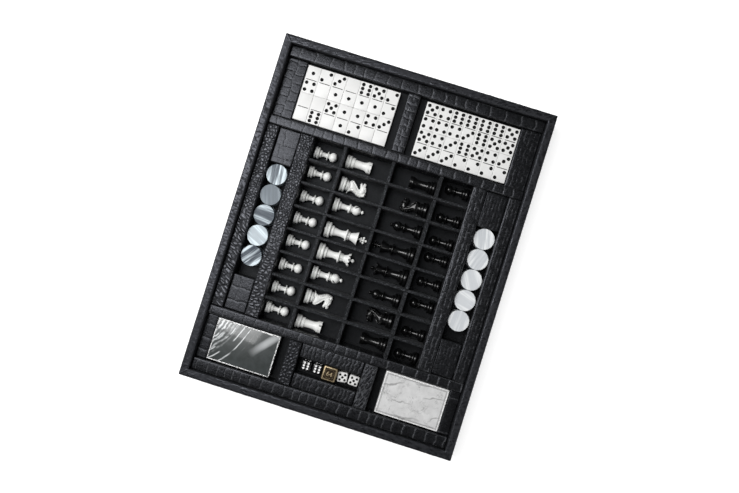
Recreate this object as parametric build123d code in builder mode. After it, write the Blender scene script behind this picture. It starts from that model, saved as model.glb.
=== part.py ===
"""Games compendium box: a leather-wrapped tray with fitted wells, holding chessmen, dominoes,
backgammon checkers, dice and two decks of cards.

Frame: +Z up, +Y towards the domino end, origin on the ground under the middle of the tray. Millimetres.
"""
from build123d import *
from math import atan2, cos, sin
import os

os.makedirs("parts", exist_ok=True)

# ---- Driving dimensions ------------------------------------------------------------------------
# Tray shell
wall_thickness = 12.0       # wrapped side wall, which is also the width of the rim
rim_rise = 8.0              # how far the rim stands above the rails: the lid or board drops in here
wrap_radius = 1.6           # roundness of every leather-wrapped edge
cover_thickness = 1.0       # suede sheet glued under the base
panel_thickness = 5.0       # base panel, let into a rebate in the walls
rebate_depth = 5.0          # how far the base panel reaches under each wall
lining_thickness = 1.0      # suede floor of the wells

# Rails and pads between the wells
rail_height = 39.0          # rail top above the lined floor
pad_drop = 5.0              # filler pads lie this far below the rails
slat_drop = 4.0             # chess lattice lies this far below the rails
head_rail_width = 16.0
foot_rail_width = 17.0
cross_rail_width = 13.5
outer_rail_width = 18.0
inner_rail_width = 20.5
domino_post_width = 18.0
dice_post_width = 19.0
checker_block_length = 51.5
long_slat_thickness = 5.0
cross_slat_thickness = 4.0
slat_bevel = 0.8
lap_play = 0.1              # clearance of the halving joints in the lattice

# Contents
tile_width = 19.5
tile_length = 40.0
tile_thickness = 8.0
tile_gap = 0.2
tile_bevel = 0.8
tile_columns = 7
tile_rows = 2
checker_diameter = 30.0
checker_thickness = 8.0
checker_gap = 0.3
checkers_in_stack = 3
stacks = 5
die_size = 14.5
die_bevel = 1.2
cube_size = 21.0
cube_bevel = 1.8
deck_length = 93.0
deck_width = 61.0
deck_thickness = 18.0
tuck_wall = 0.5
card_play = 0.5
card_corner = 3.0
king_length = 63.5
queen_length = 56.0
bishop_length = 47.0
knight_length = 41.5
rook_length = 39.0
pawn_length = 34.5
king_base = 24.0
queen_base = 25.0
bishop_base = 20.8
knight_base = 22.0
rook_base = 20.2
pawn_base = 17.6

# Clearances
tile_play_x = 11.5          # room left beside a row of tiles, for a finger
tile_play_y = 6.0
checker_play = 2.0
checker_row_play = 15.8
card_play_x = 13.5
card_play_y = 3.5
dice_play_x = 14.0
dice_play_y = 2.5
dice_shift = 2.5            # the row of dice has slid this far towards the right end of its trough
major_play = 3.0            # lengthwise, beside the longest piece
pawn_play = 9.0
row_play = 5.25             # across, beside the widest piece
seat_gap = 0.2              # between a loose piece and what it rests on or leans against
base_gap = 1.2              # between a chessman's base and the slat behind it
tile_sink = 6.0             # how far the loose pieces' tops lie below the rails
checker_sink = 6.5
deck_sink = 5.5
cube_sink = 5.5

# ---- Sizes worked out from them ----------------------------------------------------------------
floor_z = cover_thickness + panel_thickness + lining_thickness
rail_z = floor_z + rail_height
pad_z = rail_z - pad_drop
slat_z = rail_z - slat_drop
rim_z = rail_z + rim_rise

# Across the tray, from the middle out
pawn_cell = pawn_length + pawn_play
major_cell = king_length + major_play
checker_well = checker_diameter + checker_play
slat_x = [-(long_slat_thickness + major_cell), 0.0, long_slat_thickness + major_cell]
lattice_x = 1.5 * long_slat_thickness + major_cell + pawn_cell
checker_x = lattice_x + inner_rail_width
outer_rail_x = checker_x + checker_well
half_inside = outer_rail_x + outer_rail_width
domino_well_x = tile_columns * (tile_width + tile_gap) + tile_play_x
domino_block_x = domino_post_width / 2 + domino_well_x
dice_well_x = (4 * die_size + cube_size + dice_play_x) / 2
card_well_start = dice_well_x + dice_post_width
card_well_end = card_well_start + deck_length + card_play_x

# Along the tray, from the middle out
row_cell = max(king_base, queen_base) + row_play
rows = 8
row_pitch = row_cell + cross_slat_thickness
lattice_y = (rows * row_cell + (rows - 1) * cross_slat_thickness) / 2
domino_well_y = tile_rows * (tile_length + tile_gap) + tile_play_y
card_well_y = deck_width + card_play_y
dice_well_y = cube_size + dice_play_y
span_head = lattice_y + cross_rail_width + domino_well_y + head_rail_width
span_foot = lattice_y + cross_rail_width + card_well_y + foot_rail_width
case_length = span_head + span_foot + 2 * wall_thickness
case_width = 2 * (half_inside + wall_thickness)
middle_y = (span_foot - span_head) / 2      # the chess lattice sits off the tray's own middle
lattice_head = middle_y + lattice_y
lattice_foot = middle_y - lattice_y
domino_foot = lattice_head + cross_rail_width
domino_head = domino_foot + domino_well_y
inside_head = domino_head + head_rail_width
card_head = lattice_foot - cross_rail_width
card_foot = card_head - card_well_y
inside_foot = card_foot - foot_rail_width
checker_well_y = stacks * (checker_diameter + checker_gap) + checker_row_play
checker_head = lattice_head - checker_block_length
checker_foot = checker_head - checker_well_y
dice_head = (card_head + card_foot + dice_well_y) / 2
dice_foot = dice_head - dice_well_y
row_y = [lattice_head - row_cell / 2 - row * row_pitch for row in range(rows)]


def save(part, name):
    """Label a finished piece and write it to its own file."""
    part.label = name
    export_step(part, f"parts/{name}.step")


def block(x_range, y_range, z_range, radius=0.0):
    """Straight block, with its top edges rounded where a radius is given."""
    x0, x1 = x_range
    y0, y1 = y_range
    z0, z1 = z_range
    with BuildPart() as piece:
        with BuildSketch(Plane.XY.offset(z0)):
            with Locations(((x0 + x1) / 2, (y0 + y1) / 2)):
                Rectangle(x1 - x0, y1 - y0)
        extrude(amount=z1 - z0)
        if radius:
            fillet(piece.faces().sort_by(Axis.Z)[-1].edges(), radius)
    return piece.part


def group(name, solids):
    """Write several separate solids as one named node."""
    with BuildPart() as node:
        add(solids)
    save(node.part, name)


# ---- Shell -------------------------------------------------------------------------------------
def wall(name, outer_face, length):
    """Side wall: rounded, rebated section run along its side, then mitred at both ends."""
    inward = outer_face.x_dir
    along = outer_face.z_dir
    panel_top = cover_thickness + panel_thickness
    with BuildPart() as board:
        with BuildSketch(outer_face) as section:
            with BuildLine():
                Polyline(
                    (0, 0),
                    (wall_thickness - rebate_depth, 0),
                    (wall_thickness - rebate_depth, panel_top),
                    (wall_thickness, panel_top),
                    (wall_thickness, rim_z),
                    (0, rim_z),
                    close=True,
                )
            make_face()
            fillet(section.vertices().group_by(Axis.Y)[-1], wrap_radius)
        extrude(amount=length / 2, both=True)
        for end in (1, -1):
            corner = outer_face.origin + along * (end * length / 2)
            split(bisect_by=Plane(corner, z_dir=inward + along * end), keep=Keep.BOTTOM)
    save(board.part, name)


half_width = case_width / 2
half_length = case_length / 2
wall("head_wall", Plane((0, half_length, 0), x_dir=(0, -1, 0), z_dir=(-1, 0, 0)), case_width)
wall("foot_wall", Plane((0, -half_length, 0), x_dir=(0, 1, 0), z_dir=(1, 0, 0)), case_width)
wall("left_wall", Plane((-half_width, 0, 0), x_dir=(1, 0, 0), z_dir=(0, -1, 0)), case_length)
wall("right_wall", Plane((half_width, 0, 0), x_dir=(-1, 0, 0), z_dir=(0, 1, 0)), case_length)

inside_x = (-half_inside, half_inside)
inside_y = (inside_foot, inside_head)
panel_x = (-half_inside - rebate_depth, half_inside + rebate_depth)
panel_y = (inside_foot - rebate_depth, inside_head + rebate_depth)
panel_base = cover_thickness
panel_top = cover_thickness + panel_thickness
save(block(panel_x, panel_y, (0, panel_base)), "base_cover")
save(block(panel_x, panel_y, (panel_base, panel_top)), "base_panel")
save(block(inside_x, inside_y, (panel_top, floor_z)), "floor_lining")

# ---- Rails, posts and filler pads --------------------------------------------------------------
rail_span = (floor_z, rail_z)
pad_span = (floor_z, pad_z)
lattice_span = (lattice_foot, lattice_head)
domino_span = (domino_foot, domino_head)
card_span = (card_foot, card_head)


def mirrored(span):
    """The same span on the other side of the tray's middle."""
    return (-span[1], -span[0])


def rail(name, x_range, y_range, z_range=rail_span):
    save(block(x_range, y_range, z_range, wrap_radius), name)


rail("head_rail", inside_x, (domino_head, inside_head))
rail("upper_cross_rail", inside_x, (lattice_head, domino_foot))
rail("lower_cross_rail", inside_x, (card_head, lattice_foot))
rail("foot_rail", inside_x, (inside_foot, card_foot))

outer_rail = (outer_rail_x, half_inside)
inner_rail = (lattice_x, checker_x)
rail("right_outer_rail", outer_rail, lattice_span)
rail("left_outer_rail", mirrored(outer_rail), lattice_span)
rail("right_inner_rail", inner_rail, lattice_span)
rail("left_inner_rail", mirrored(inner_rail), lattice_span)
rail("domino_post", (-domino_post_width / 2, domino_post_width / 2), domino_span)

domino_block = (domino_block_x, half_inside)
rail("right_domino_block", domino_block, domino_span, pad_span)
rail("left_domino_block", mirrored(domino_block), domino_span, pad_span)

checker_span = (checker_x, outer_rail_x)
head_block = (checker_head, lattice_head)
foot_block = (lattice_foot, checker_foot)
for side, span in (("right", checker_span), ("left", mirrored(checker_span))):
    ends = [block(span, y_range, pad_span, wrap_radius) for y_range in (head_block, foot_block)]
    group(f"{side}_checker_blocks", ends)

card_block = (card_well_end, half_inside)
card_block_spans = (card_block, mirrored(card_block))
group("card_blocks", [block(span, card_span, pad_span, wrap_radius) for span in card_block_spans])

dice_post = (dice_well_x, card_well_start)
dice_post_spans = (dice_post, mirrored(dice_post))
group("dice_posts", [block(span, card_span, rail_span, wrap_radius) for span in dice_post_spans])

dice_span = (-dice_well_x, dice_well_x)
dice_pad_spans = ((dice_head, card_head), (card_foot, dice_foot))
group("dice_pads", [block(dice_span, span, pad_span, wrap_radius) for span in dice_pad_spans])

# ---- Plinths: lined false floors that bring the contents up to hand ------------------------------
tile_seat = rail_z - tile_sink - tile_thickness
checker_seat = rail_z - checker_sink - checkers_in_stack * checker_thickness
deck_seat = rail_z - deck_sink - deck_thickness
cube_seat = rail_z - cube_sink - cube_size

domino_well = (domino_post_width / 2, domino_block_x)
checker_well_span = (checker_foot, checker_head)
card_well = (card_well_start, card_well_end)


def plinths(name, x_ranges, y_range, seat):
    """Plinths of one height, one to a well, each a seat gap below what it carries."""
    group(name, [block(x_range, y_range, (floor_z, seat - seat_gap)) for x_range in x_ranges])


plinths("domino_plinths", (domino_well, mirrored(domino_well)), domino_span, tile_seat)
plinths("checker_plinths", (checker_span, mirrored(checker_span)), checker_well_span, checker_seat)
plinths("card_plinths", (card_well, mirrored(card_well)), card_span, deck_seat)
plinths("dice_plinth", (dice_span,), (dice_foot, dice_head), cube_seat)


# ---- Chess lattice: slats halved into each other -------------------------------------------------
def slat(x_range, y_range, crossing_centres, notch_width, notch_z):
    """Slat with its top edges bevelled and a notch cut at each crossing."""
    lengthwise = Axis.Y if y_range[1] - y_range[0] > x_range[1] - x_range[0] else Axis.X
    notch_height = notch_z[1] - notch_z[0]
    with BuildPart() as piece:
        add(block(x_range, y_range, (floor_z, slat_z)))
        top_edges = piece.faces().sort_by(Axis.Z)[-1].edges().filter_by(lengthwise)
        chamfer(top_edges, slat_bevel)
        with Locations(*[(x, y, sum(notch_z) / 2) for x, y in crossing_centres]):
            Box(notch_width[0], notch_width[1], notch_height, mode=Mode.SUBTRACT)
    return piece.part


half_lap = floor_z + (slat_z - floor_z) / 2
slat_y = [row_y[row] - row_pitch / 2 for row in range(rows - 1)]
half_long = long_slat_thickness / 2
half_cross = cross_slat_thickness / 2
notch_size = (long_slat_thickness + 2 * lap_play, cross_slat_thickness + 2 * lap_play)
upper_notch = (half_lap, slat_z + lap_play)
lower_notch = (floor_z - lap_play, half_lap + lap_play)
lattice_x_span = (-lattice_x, lattice_x)
long_slats = []
for x in slat_x:
    thickness = (x - half_long, x + half_long)
    crossings = [(x, y) for y in slat_y]
    long_slats.append(slat(thickness, lattice_span, crossings, notch_size, upper_notch))
cross_slats = []
for y in slat_y:
    thickness = (y - half_cross, y + half_cross)
    crossings = [(x, y) for x in slat_x]
    cross_slats.append(slat(lattice_x_span, thickness, crossings, notch_size, lower_notch))
group("long_slats", long_slats)
group("cross_slats", cross_slats)


# ---- Dominoes, checkers, dice and cards ----------------------------------------------------------
def domino_set(name, first_x):
    """Rows of tiles lying face up on their plinth; first_x is the left edge of the first tile."""
    pitch_x = tile_width + tile_gap
    pitch_y = tile_length + tile_gap
    middle = (domino_foot + domino_head) / 2
    with BuildPart() as tile:
        with BuildSketch(Plane.XY.offset(tile_seat)):
            Rectangle(tile_width, tile_length)
        extrude(amount=tile_thickness)
        chamfer(tile.faces().sort_by(Axis.Z)[-1].edges(), tile_bevel)
    places = []
    for row in range(tile_rows):
        for column in range(tile_columns):
            x = first_x + tile_width / 2 + column * pitch_x
            y = middle + (row - (tile_rows - 1) / 2) * pitch_y
            places.append((x, y))
    with BuildPart() as tiles:
        with Locations(*places):
            add(tile.part)
    save(tiles.part, name)


tile_row_length = tile_columns * tile_width + (tile_columns - 1) * tile_gap
domino_set("left_dominoes", -domino_block_x + 3 * seat_gap)
domino_set("right_dominoes", domino_block_x - 3 * seat_gap - tile_row_length)


def checker_set(name, side):
    """Stacks of checkers edge to edge, pushed up to the head end and the outer side of their well."""
    x_middle = side * (outer_rail_x - 2 * seat_gap - checker_diameter / 2)
    pitch = checker_diameter + checker_gap
    with BuildPart() as men:
        for stack in range(stacks):
            y = checker_head - 2 * seat_gap - checker_diameter / 2 - stack * pitch
            for level in range(checkers_in_stack):
                with BuildSketch(Plane.XY.offset(checker_seat + level * checker_thickness)):
                    with Locations((x_middle, y)):
                        Circle(checker_diameter / 2)
                extrude(amount=checker_thickness - (seat_gap if level < checkers_in_stack - 1 else 0))
    save(men.part, name)


checker_set("dark_checkers", -1)
checker_set("light_checkers", 1)


def die(name, size, bevel, x, turn=0.0):
    """Cube with broken edges standing on the dice plinth, near the head side of its trough."""
    y = dice_head - 2 * seat_gap - cube_size / 2
    with BuildPart() as cube:
        with Locations(Location((x + dice_shift, y, cube_seat + size / 2), (0, 0, turn))):
            Box(size, size, size)
        chamfer(cube.edges(), bevel)
    save(cube.part, name)


die_pitch = die_size + dice_play_x / 6
cube_clear = cube_size / 2 + dice_play_x / 12 + die_size / 2
die("black_die_1", die_size, die_bevel, -cube_clear - die_pitch)
die("black_die_2", die_size, die_bevel, -cube_clear)
die("doubling_cube", cube_size, cube_bevel, 0.0)
die("white_die_1", die_size, die_bevel, cube_clear, 8.0)
die("white_die_2", die_size, die_bevel, cube_clear + die_pitch, -3.0)


def deck(name, side):
    """Tuck case of thin card with a stack of playing cards inside it."""
    x_middle = side * (card_well_end - 2 * seat_gap - deck_length / 2)
    y_middle = (card_head + card_foot) / 2
    middle = (x_middle, y_middle, deck_seat + deck_thickness / 2)
    inner_size = [size - 2 * tuck_wall for size in (deck_length, deck_width, deck_thickness)]
    card_size = [size - 2 * card_play for size in inner_size]
    with BuildPart() as case:
        with Locations(middle):
            Box(deck_length, deck_width, deck_thickness)
            Box(*inner_size, mode=Mode.SUBTRACT)
    save(case.part, f"{name}_tuck_case")
    with BuildPart() as cards:
        with BuildSketch(Plane.XY.offset(deck_seat + tuck_wall)):
            with Locations((x_middle, y_middle)):
                RectangleRounded(card_size[0], card_size[1], card_corner)
        extrude(amount=card_size[2])
    save(cards.part, f"{name}_cards")


deck("dark_deck", -1)
deck("light_deck", 1)

# ---- Chessmen ------------------------------------------------------------------------------------
# Each is turned upright on its base, with its front along +X, and is then laid on its side.
plinth_height = 4.0
bead_height = 4.4
shoulder_height = 2.0
foot_step = 0.9             # each moulding of the foot steps in by this much


def foot(base_diameter, waist_diameter):
    """Half outline of the moulded foot: plinth, bead and shoulder, up to the waist above it."""
    rim = base_diameter / 2
    bead = rim - foot_step
    bead_top = plinth_height + bead_height
    return [
        (rim, 0),
        (rim, plinth_height),
        (bead, plinth_height),
        (bead, bead_top),
        (waist_diameter / 2, bead_top + shoulder_height),
    ]


def turn(outline):
    """Revolve a half outline of (radius, height) points, closed along the axis."""
    with BuildPart() as turning:
        with BuildSketch(Plane.XZ):
            with BuildLine():
                Polyline((0, 0), *outline, (0, outline[-1][1]), close=True)
            make_face()
        revolve(axis=Axis.Z)
    return turning.part


def collar(radius, height, thickness, throat):
    """Turned collar: a thin disc, dished down to the throat above it."""
    return [
        (radius, height - thickness / 2),
        (radius, height + thickness / 2),
        (throat, height + thickness),
    ]


pawn_ball = 13.2
pawn_waist = 9.2
pawn_neck = 6.8
pawn_collar = 12.6
pawn_disc = 1.6
with BuildPart() as pawn:
    ball_z = pawn_length - pawn_ball / 2
    collar_z = ball_z - pawn_ball / 2 - 1.2
    neck = [(pawn_neck / 2, collar_z - pawn_disc / 2)]
    disc = collar(pawn_collar / 2, collar_z, pawn_disc, pawn_neck / 2)
    add(turn(foot(pawn_base, pawn_waist) + neck + disc))
    with Locations((0, 0, ball_z)):
        Sphere(pawn_ball / 2)

rook_waist = 14.0
rook_neck = 10.0
rook_head = 17.4
rook_bore = 10.0
battlement = 3.2
battlement_gap = 2.8
parapet_height = 6.2
with BuildPart() as rook:
    parapet_z = rook_length - parapet_height
    tower = [
        (rook_neck / 2, parapet_z - 8.0),
        (rook_head / 2 - 2.4, parapet_z - 1.4),
        (rook_head / 2, parapet_z),
        (rook_head / 2, rook_length),
    ]
    add(turn(foot(rook_base, rook_waist) + tower))
    with BuildSketch(Plane.XY.offset(rook_length - battlement)):
        Circle(rook_bore / 2)
        with PolarLocations(0, 3, start_angle=30, angular_range=180):
            Rectangle(rook_head + foot_step, battlement_gap)
    extrude(amount=battlement, mode=Mode.SUBTRACT)

bishop_waist = 11.4
bishop_neck = 8.0
bishop_collar = 15.0
bishop_mitre = 14.0
bishop_finial = 4.4
mitre_height = 13.0
mitre_cut = 1.4
bishop_disc = 2.0
with BuildPart() as bishop:
    knob_z = bishop_length - bishop_finial
    mitre_z = knob_z - mitre_height
    widest_z = mitre_z + mitre_height * 0.38
    collar_z = mitre_z - bishop_disc
    head = [
        (bishop_mitre / 2 - 1.6, mitre_z + 1.4),
        (bishop_mitre / 2, widest_z),
        (bishop_mitre / 2 - 1.6, widest_z + mitre_height * 0.27),
        (bishop_finial / 4, knob_z),
        (bishop_finial / 2, knob_z + bishop_finial / 3),
        (bishop_finial / 4, bishop_length),
    ]
    neck = [(bishop_neck / 2, collar_z - bishop_disc / 2)]
    disc = collar(bishop_collar / 2, collar_z, bishop_disc, bishop_neck / 2)
    add(turn(foot(bishop_base, bishop_waist) + neck + disc + head))
    with Locations(Location((bishop_mitre / 2, 0, widest_z + mitre_height * 0.25), (0, -55, 0))):
        Box(bishop_mitre, bishop_mitre, mitre_cut, mode=Mode.SUBTRACT)

royal_waist = 17.0
royal_body = 14.0
royal_neck = 11.2
royal_collar = 19.0
royal_throat = 11.6
ring_height = 3.2
royal_disc = 3.0


def royal_body_outline(base_diameter, collar_z):
    """Foot, ring, long body and collar that the king and the queen share, up to the throat."""
    ring_top = plinth_height + bead_height + shoulder_height + ring_height
    body = [
        (royal_waist / 2, ring_top),
        (royal_body / 2, ring_top),
        (royal_neck / 2, collar_z - royal_disc / 2),
    ]
    disc = collar(royal_collar / 2, collar_z, royal_disc, royal_throat / 2)
    return foot(base_diameter, royal_waist) + body + disc


king_collar_z = 32.0
king_crown = 19.0
king_crown_height = 11.0
cross_height = 12.4
cross_width = 9.6
cross_arm = 3.4
cross_thickness = 4.2
crown_dome = 2.2
with BuildPart() as king:
    crown_z = king_length - cross_height
    crown = [
        (royal_throat / 2, crown_z - king_crown_height),
        (king_crown / 2, crown_z - crown_dome),
        (cross_arm / 2, crown_z),
    ]
    add(turn(royal_body_outline(king_base, king_collar_z) + crown))
    with BuildSketch(Plane.XZ):
        with Locations((0, king_length - (cross_height + crown_dome) / 2)):
            Rectangle(cross_arm, cross_height + crown_dome)
        with Locations((0, king_length - cross_height * 0.42)):
            Rectangle(cross_width, cross_arm)
    extrude(amount=cross_thickness / 2, both=True)

queen_collar_z = 31.0
queen_coronet = 20.0
queen_coronet_height = 9.6
queen_points = 8
queen_ball = 5.0
coronet_cut = 1.8
coronet_wall = 2.6
with BuildPart() as queen:
    coronet_z = queen_length - queen_ball - 1.4
    inner = queen_coronet / 2 - coronet_wall
    coronet = [
        (royal_throat / 2, coronet_z - queen_coronet_height),
        (queen_coronet / 2, coronet_z),
        (inner, coronet_z),
        (inner, coronet_z - coronet_cut),
        (queen_ball / 4, queen_length - queen_ball),
        (queen_ball / 2, queen_length - queen_ball * 0.65),
        (queen_ball / 2, queen_length - queen_ball * 0.35),
        (queen_ball / 4, queen_length),
    ]
    add(turn(royal_body_outline(queen_base, queen_collar_z) + coronet))
    with Locations((0, 0, coronet_z)):
        with PolarLocations(queen_coronet / 2, queen_points):
            Box(3 * coronet_wall, coronet_cut, 2 * coronet_cut, mode=Mode.SUBTRACT)

knight_waist = 14.0
knight_body = 13.6
knight_cheek = 9.5
chest_reach = 8.6           # how far the chest, the muzzle and the mane stand off the axis
muzzle_reach = 9.2
mane_reach = 11.4
throat_drop = 11.2          # the deepest point of the throat: this far below the ears, just behind the axis
throat_back = 1.4
ear_length = 3.0
chest_rise = 3.2
tail_drop = 3.6
with BuildPart() as knight:
    body_z = plinth_height + bead_height + shoulder_height
    neck_z = body_z + 5.6
    add(turn(foot(knight_base, knight_waist) + [(knight_waist / 2, neck_z)]))
    with BuildSketch(Plane.XZ):
        with BuildLine():
            top = knight_length
            body_top = neck_z - ear_length
            jaw_z = top - throat_drop
            mane_mid = ((top - ear_length) + neck_z) / 2 + tail_drop / 2
            chest = Line((knight_body / 2, body_top), (chest_reach, neck_z + chest_rise))
            throat = Line(chest @ 1, (-throat_back, jaw_z))
            jaw = ThreePointArc(throat @ 1, (chest_reach / 7, jaw_z + 1.8), (chest_reach / 2, jaw_z + 0.8))
            lip = (muzzle_reach * 0.8, jaw_z + 1.2)
            nose = (muzzle_reach, jaw_z + 4.0)
            bridge = (muzzle_reach * 0.92, top - ear_length)
            muzzle = Polyline(jaw @ 1, lip, nose, bridge)
            forehead = (muzzle_reach * 0.22, top - ear_length * 0.7)
            poll = (-mane_reach * 0.44, top - ear_length * 0.8)
            brow = ThreePointArc(muzzle @ 1, forehead, poll)
            ear = Polyline(brow @ 1, (-mane_reach * 0.58, top), (-mane_reach * 0.74, top - ear_length))
            crest = (-mane_reach, mane_mid + ear_length)
            withers = (-mane_reach * 0.75, neck_z + tail_drop)
            mane = ThreePointArc(ear @ 1, crest, withers)
            nape = (-mane_reach * 0.74, neck_z)
            tip = (-mane_reach * 0.93, neck_z - tail_drop)
            tail = Polyline(mane @ 1, nape, tip, (-knight_body / 2, body_top))
            Line(tail @ 1, chest @ 0)
        make_face()
    extrude(amount=knight_cheek / 2, both=True)


def laid(man, lean, heading, facing, base_x, y):
    """Lay a chessman on its side, its axis along X with its head the way of heading.

    lean is the angle by which the axis dips, so head and base both touch the floor. facing turns its front
    to +Y or -Y. base_x is the face of the slat behind its base.
    """
    axis = (heading * cos(lean), 0, -sin(lean))
    down = man.moved(Plane((0, 0, 0), x_dir=(0, facing, 0), z_dir=axis).location)
    box = down.bounding_box()
    behind = box.min.X if heading > 0 else box.max.X
    return down.moved(Location((base_x + heading * base_gap - behind, y, floor_z + seat_gap - box.min.Z)))


def lean_of(base_diameter, head_diameter, head_z):
    return atan2((base_diameter - head_diameter) / 2, head_z)


chessmen = {
    "king": (king.part, king_base, lean_of(king_base, king_crown, crown_z)),
    "queen": (queen.part, queen_base, lean_of(queen_base, queen_coronet, coronet_z)),
    "bishop": (bishop.part, bishop_base, lean_of(bishop_base, bishop_mitre, widest_z)),
    "knight": (knight.part, knight_base, lean_of(knight_base, knight_cheek, knight_length)),
    "rook": (rook.part, rook_base, lean_of(rook_base, rook_head, rook_length)),
    "pawn": (pawn.part, pawn_base, lean_of(pawn_base, pawn_ball, ball_z)),
}

# How far each man lies off the middle of its cell, as a part of the room it has there
back_rank = ["rook", "knight", "bishop", "king", "queen", "bishop", "knight", "rook"]
white_back_drift = [-0.2, -0.1, 0.6, -0.6, -0.2, 0.3, 0.0, -0.9]
black_back_drift = [-0.4, -0.4, -0.15, -0.6, -0.5, -0.5, 0.2, -0.1]
white_pawn_drift = [-0.3, 0.5, 0.0, 0.2, 0.15, -0.15, -0.2, 0.3]
black_pawn_drift = [0.6, -0.75, -0.85, 0.6, 0.2, 0.4, -0.95, -0.95]


def army(colour, heading, back_drift, pawn_drift):
    """Lay one side's sixteen men in their cells, bases outwards from the middle slat."""
    back_x = -heading * (long_slat_thickness / 2 + major_cell)
    pawn_x = -heading * lattice_x
    men = {}
    for row, kind in enumerate(back_rank):
        part, base_diameter, lean = chessmen[kind]
        room = (row_cell - base_diameter) / 2 - 2 * seat_gap
        facing = 1 if row < rows / 2 else -1
        y = row_y[row] + back_drift[row] * room
        men.setdefault(kind, []).append(laid(part, lean, heading, facing, back_x, y))
        part, base_diameter, lean = chessmen["pawn"]
        room = (row_cell - base_diameter) / 2 - 2 * seat_gap
        y = row_y[row] + pawn_drift[row] * room
        men.setdefault("pawn", []).append(laid(part, lean, heading, 1, pawn_x, y))
    for kind, solids in men.items():
        group(f"{colour}_{kind}" if len(solids) == 1 else f"{colour}_{kind}s", solids)


army("white", 1, white_back_drift, white_pawn_drift)
army("black", -1, black_back_drift, black_pawn_drift)

print(f"tray {case_width:.1f} x {case_length:.1f} x {rim_z:.1f} mm")
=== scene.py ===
"""Games compendium box: the looks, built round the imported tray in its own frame. Sizes are in millimetres."""

from math import atan2, copysign, cos, hypot, pi, radians, sin, sqrt

import bmesh
import bpy
from mathutils import Matrix, Vector, noise


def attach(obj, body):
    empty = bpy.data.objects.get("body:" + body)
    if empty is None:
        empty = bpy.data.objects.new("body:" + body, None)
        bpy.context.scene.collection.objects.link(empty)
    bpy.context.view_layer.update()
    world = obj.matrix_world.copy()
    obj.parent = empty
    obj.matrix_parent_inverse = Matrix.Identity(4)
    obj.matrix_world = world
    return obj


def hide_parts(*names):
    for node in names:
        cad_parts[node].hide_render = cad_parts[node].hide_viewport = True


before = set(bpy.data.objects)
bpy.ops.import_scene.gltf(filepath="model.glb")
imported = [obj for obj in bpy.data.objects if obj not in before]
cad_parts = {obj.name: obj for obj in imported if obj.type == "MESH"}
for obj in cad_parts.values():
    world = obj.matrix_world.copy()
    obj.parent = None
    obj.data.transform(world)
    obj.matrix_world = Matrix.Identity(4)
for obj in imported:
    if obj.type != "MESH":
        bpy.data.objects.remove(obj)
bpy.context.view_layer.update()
MM = 0.001

# ---- Sizes shared with the tray ------------------------------------------------------------------
# Heights
PANEL_TOP = 6.0
FLOOR_Z = 7.0
PAD_Z = 41.0
RAIL_Z = 46.0
RIM_Z = 54.0
# Shell
HALF_WIDTH = 200.0
HALF_LENGTH = 252.45
WALL = 12.0
REBATE = 5.0
HALF_INSIDE = 188.0
INSIDE_END = 240.45
# Edges of the rails, pads and wells across the tray, from its middle out
DOMINO_POST_X = 9.0
DICE_WELL_X = 46.5
CARD_WELL_START = 65.5
MAJOR_CELL_X = 69.0
LATTICE_X = 117.5
CHECKER_X = 138.0
DOMINO_BLOCK_X = 158.4
OUTER_RAIL_X = 170.0
CARD_WELL_END = 172.0
# The same along the tray, from the domino end
DOMINO_HEAD = 224.45
DOMINO_FOOT = 138.05
LATTICE_HEAD = 124.55
CHECKER_HEAD = 73.05
CHECKER_FOOT = -94.25
LATTICE_FOOT = -145.45
CARD_HEAD = -158.95
DICE_HEAD = -179.45
DICE_FOOT = -202.95
CARD_FOOT = -223.45
# Between a loose piece and its seat, and between a chessman's base and the side of its cell
SEAT_GAP = 0.2
BASE_GAP = 1.2


# ---- Working in mesh -----------------------------------------------------------------------------
def absorb(whole, bm):
    """Move all of one bmesh into another."""
    part = bpy.data.meshes.new("part")
    bm.to_mesh(part)
    bm.free()
    whole.from_mesh(part)
    bpy.data.meshes.remove(part)


def new_piece(name, meshes, body, looks, replaced, sharp=35.0):
    """Join bmeshes given in millimetres into one named object that rides on a body of the tray."""
    whole = bmesh.new()
    for bm in meshes:
        absorb(whole, bm)
    bmesh.ops.scale(whole, vec=(MM, MM, MM), verts=whole.verts)
    mesh = bpy.data.meshes.new(name)
    whole.to_mesh(mesh)
    whole.free()
    for look in looks:
        mesh.materials.append(look)
    mesh.polygons.foreach_set("use_smooth", [True] * len(mesh.polygons))
    mesh.set_sharp_from_angle(angle=radians(sharp))
    piece = bpy.data.objects.new(name, mesh)
    bpy.context.scene.collection.objects.link(piece)
    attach(piece, body)
    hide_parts(*replaced)


def moved(bm, matrix):
    bmesh.ops.transform(bm, matrix=matrix, verts=bm.verts)
    return bm


def rotation(degrees, axis):
    return Matrix.Rotation(radians(degrees), 4, axis)


def box(size, middle=(0.0, 0.0, 0.0)):
    """Plain block of a given size about its middle."""
    bm = bmesh.new()
    bmesh.ops.create_cube(bm, size=1.0)
    bmesh.ops.scale(bm, vec=size, verts=bm.verts)
    bmesh.ops.translate(bm, vec=middle, verts=bm.verts)
    return bm


def round_edges(bm, edges, radius, segments):
    bmesh.ops.bevel(
        bm, geom=edges, offset=radius, offset_type="OFFSET", segments=segments, profile=0.5, affect="EDGES",
        material=-1,
    )


def divide(bm, axis, cell):
    """Cut every edge that runs along an axis into cells of about one size, and the faces between them."""
    lengths = {}
    for edge in bm.edges:
        run = edge.verts[1].co - edge.verts[0].co
        if run.length > cell * 1.5 and abs(run[axis]) > 0.999 * run.length:
            lengths.setdefault(round(run.length), []).append(edge)
    for length, edges in lengths.items():
        cuts = max(round(length / cell) - 1, 1)
        bmesh.ops.subdivide_edges(bm, edges=edges, cuts=cuts, use_grid_fill=True)


def step(low, high, value):
    """Smooth step from 0 to 1 between low and high."""
    t = min(max((value - low) / (high - low), 0.0), 1.0)
    return t * t * (3.0 - 2.0 * t)


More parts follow.
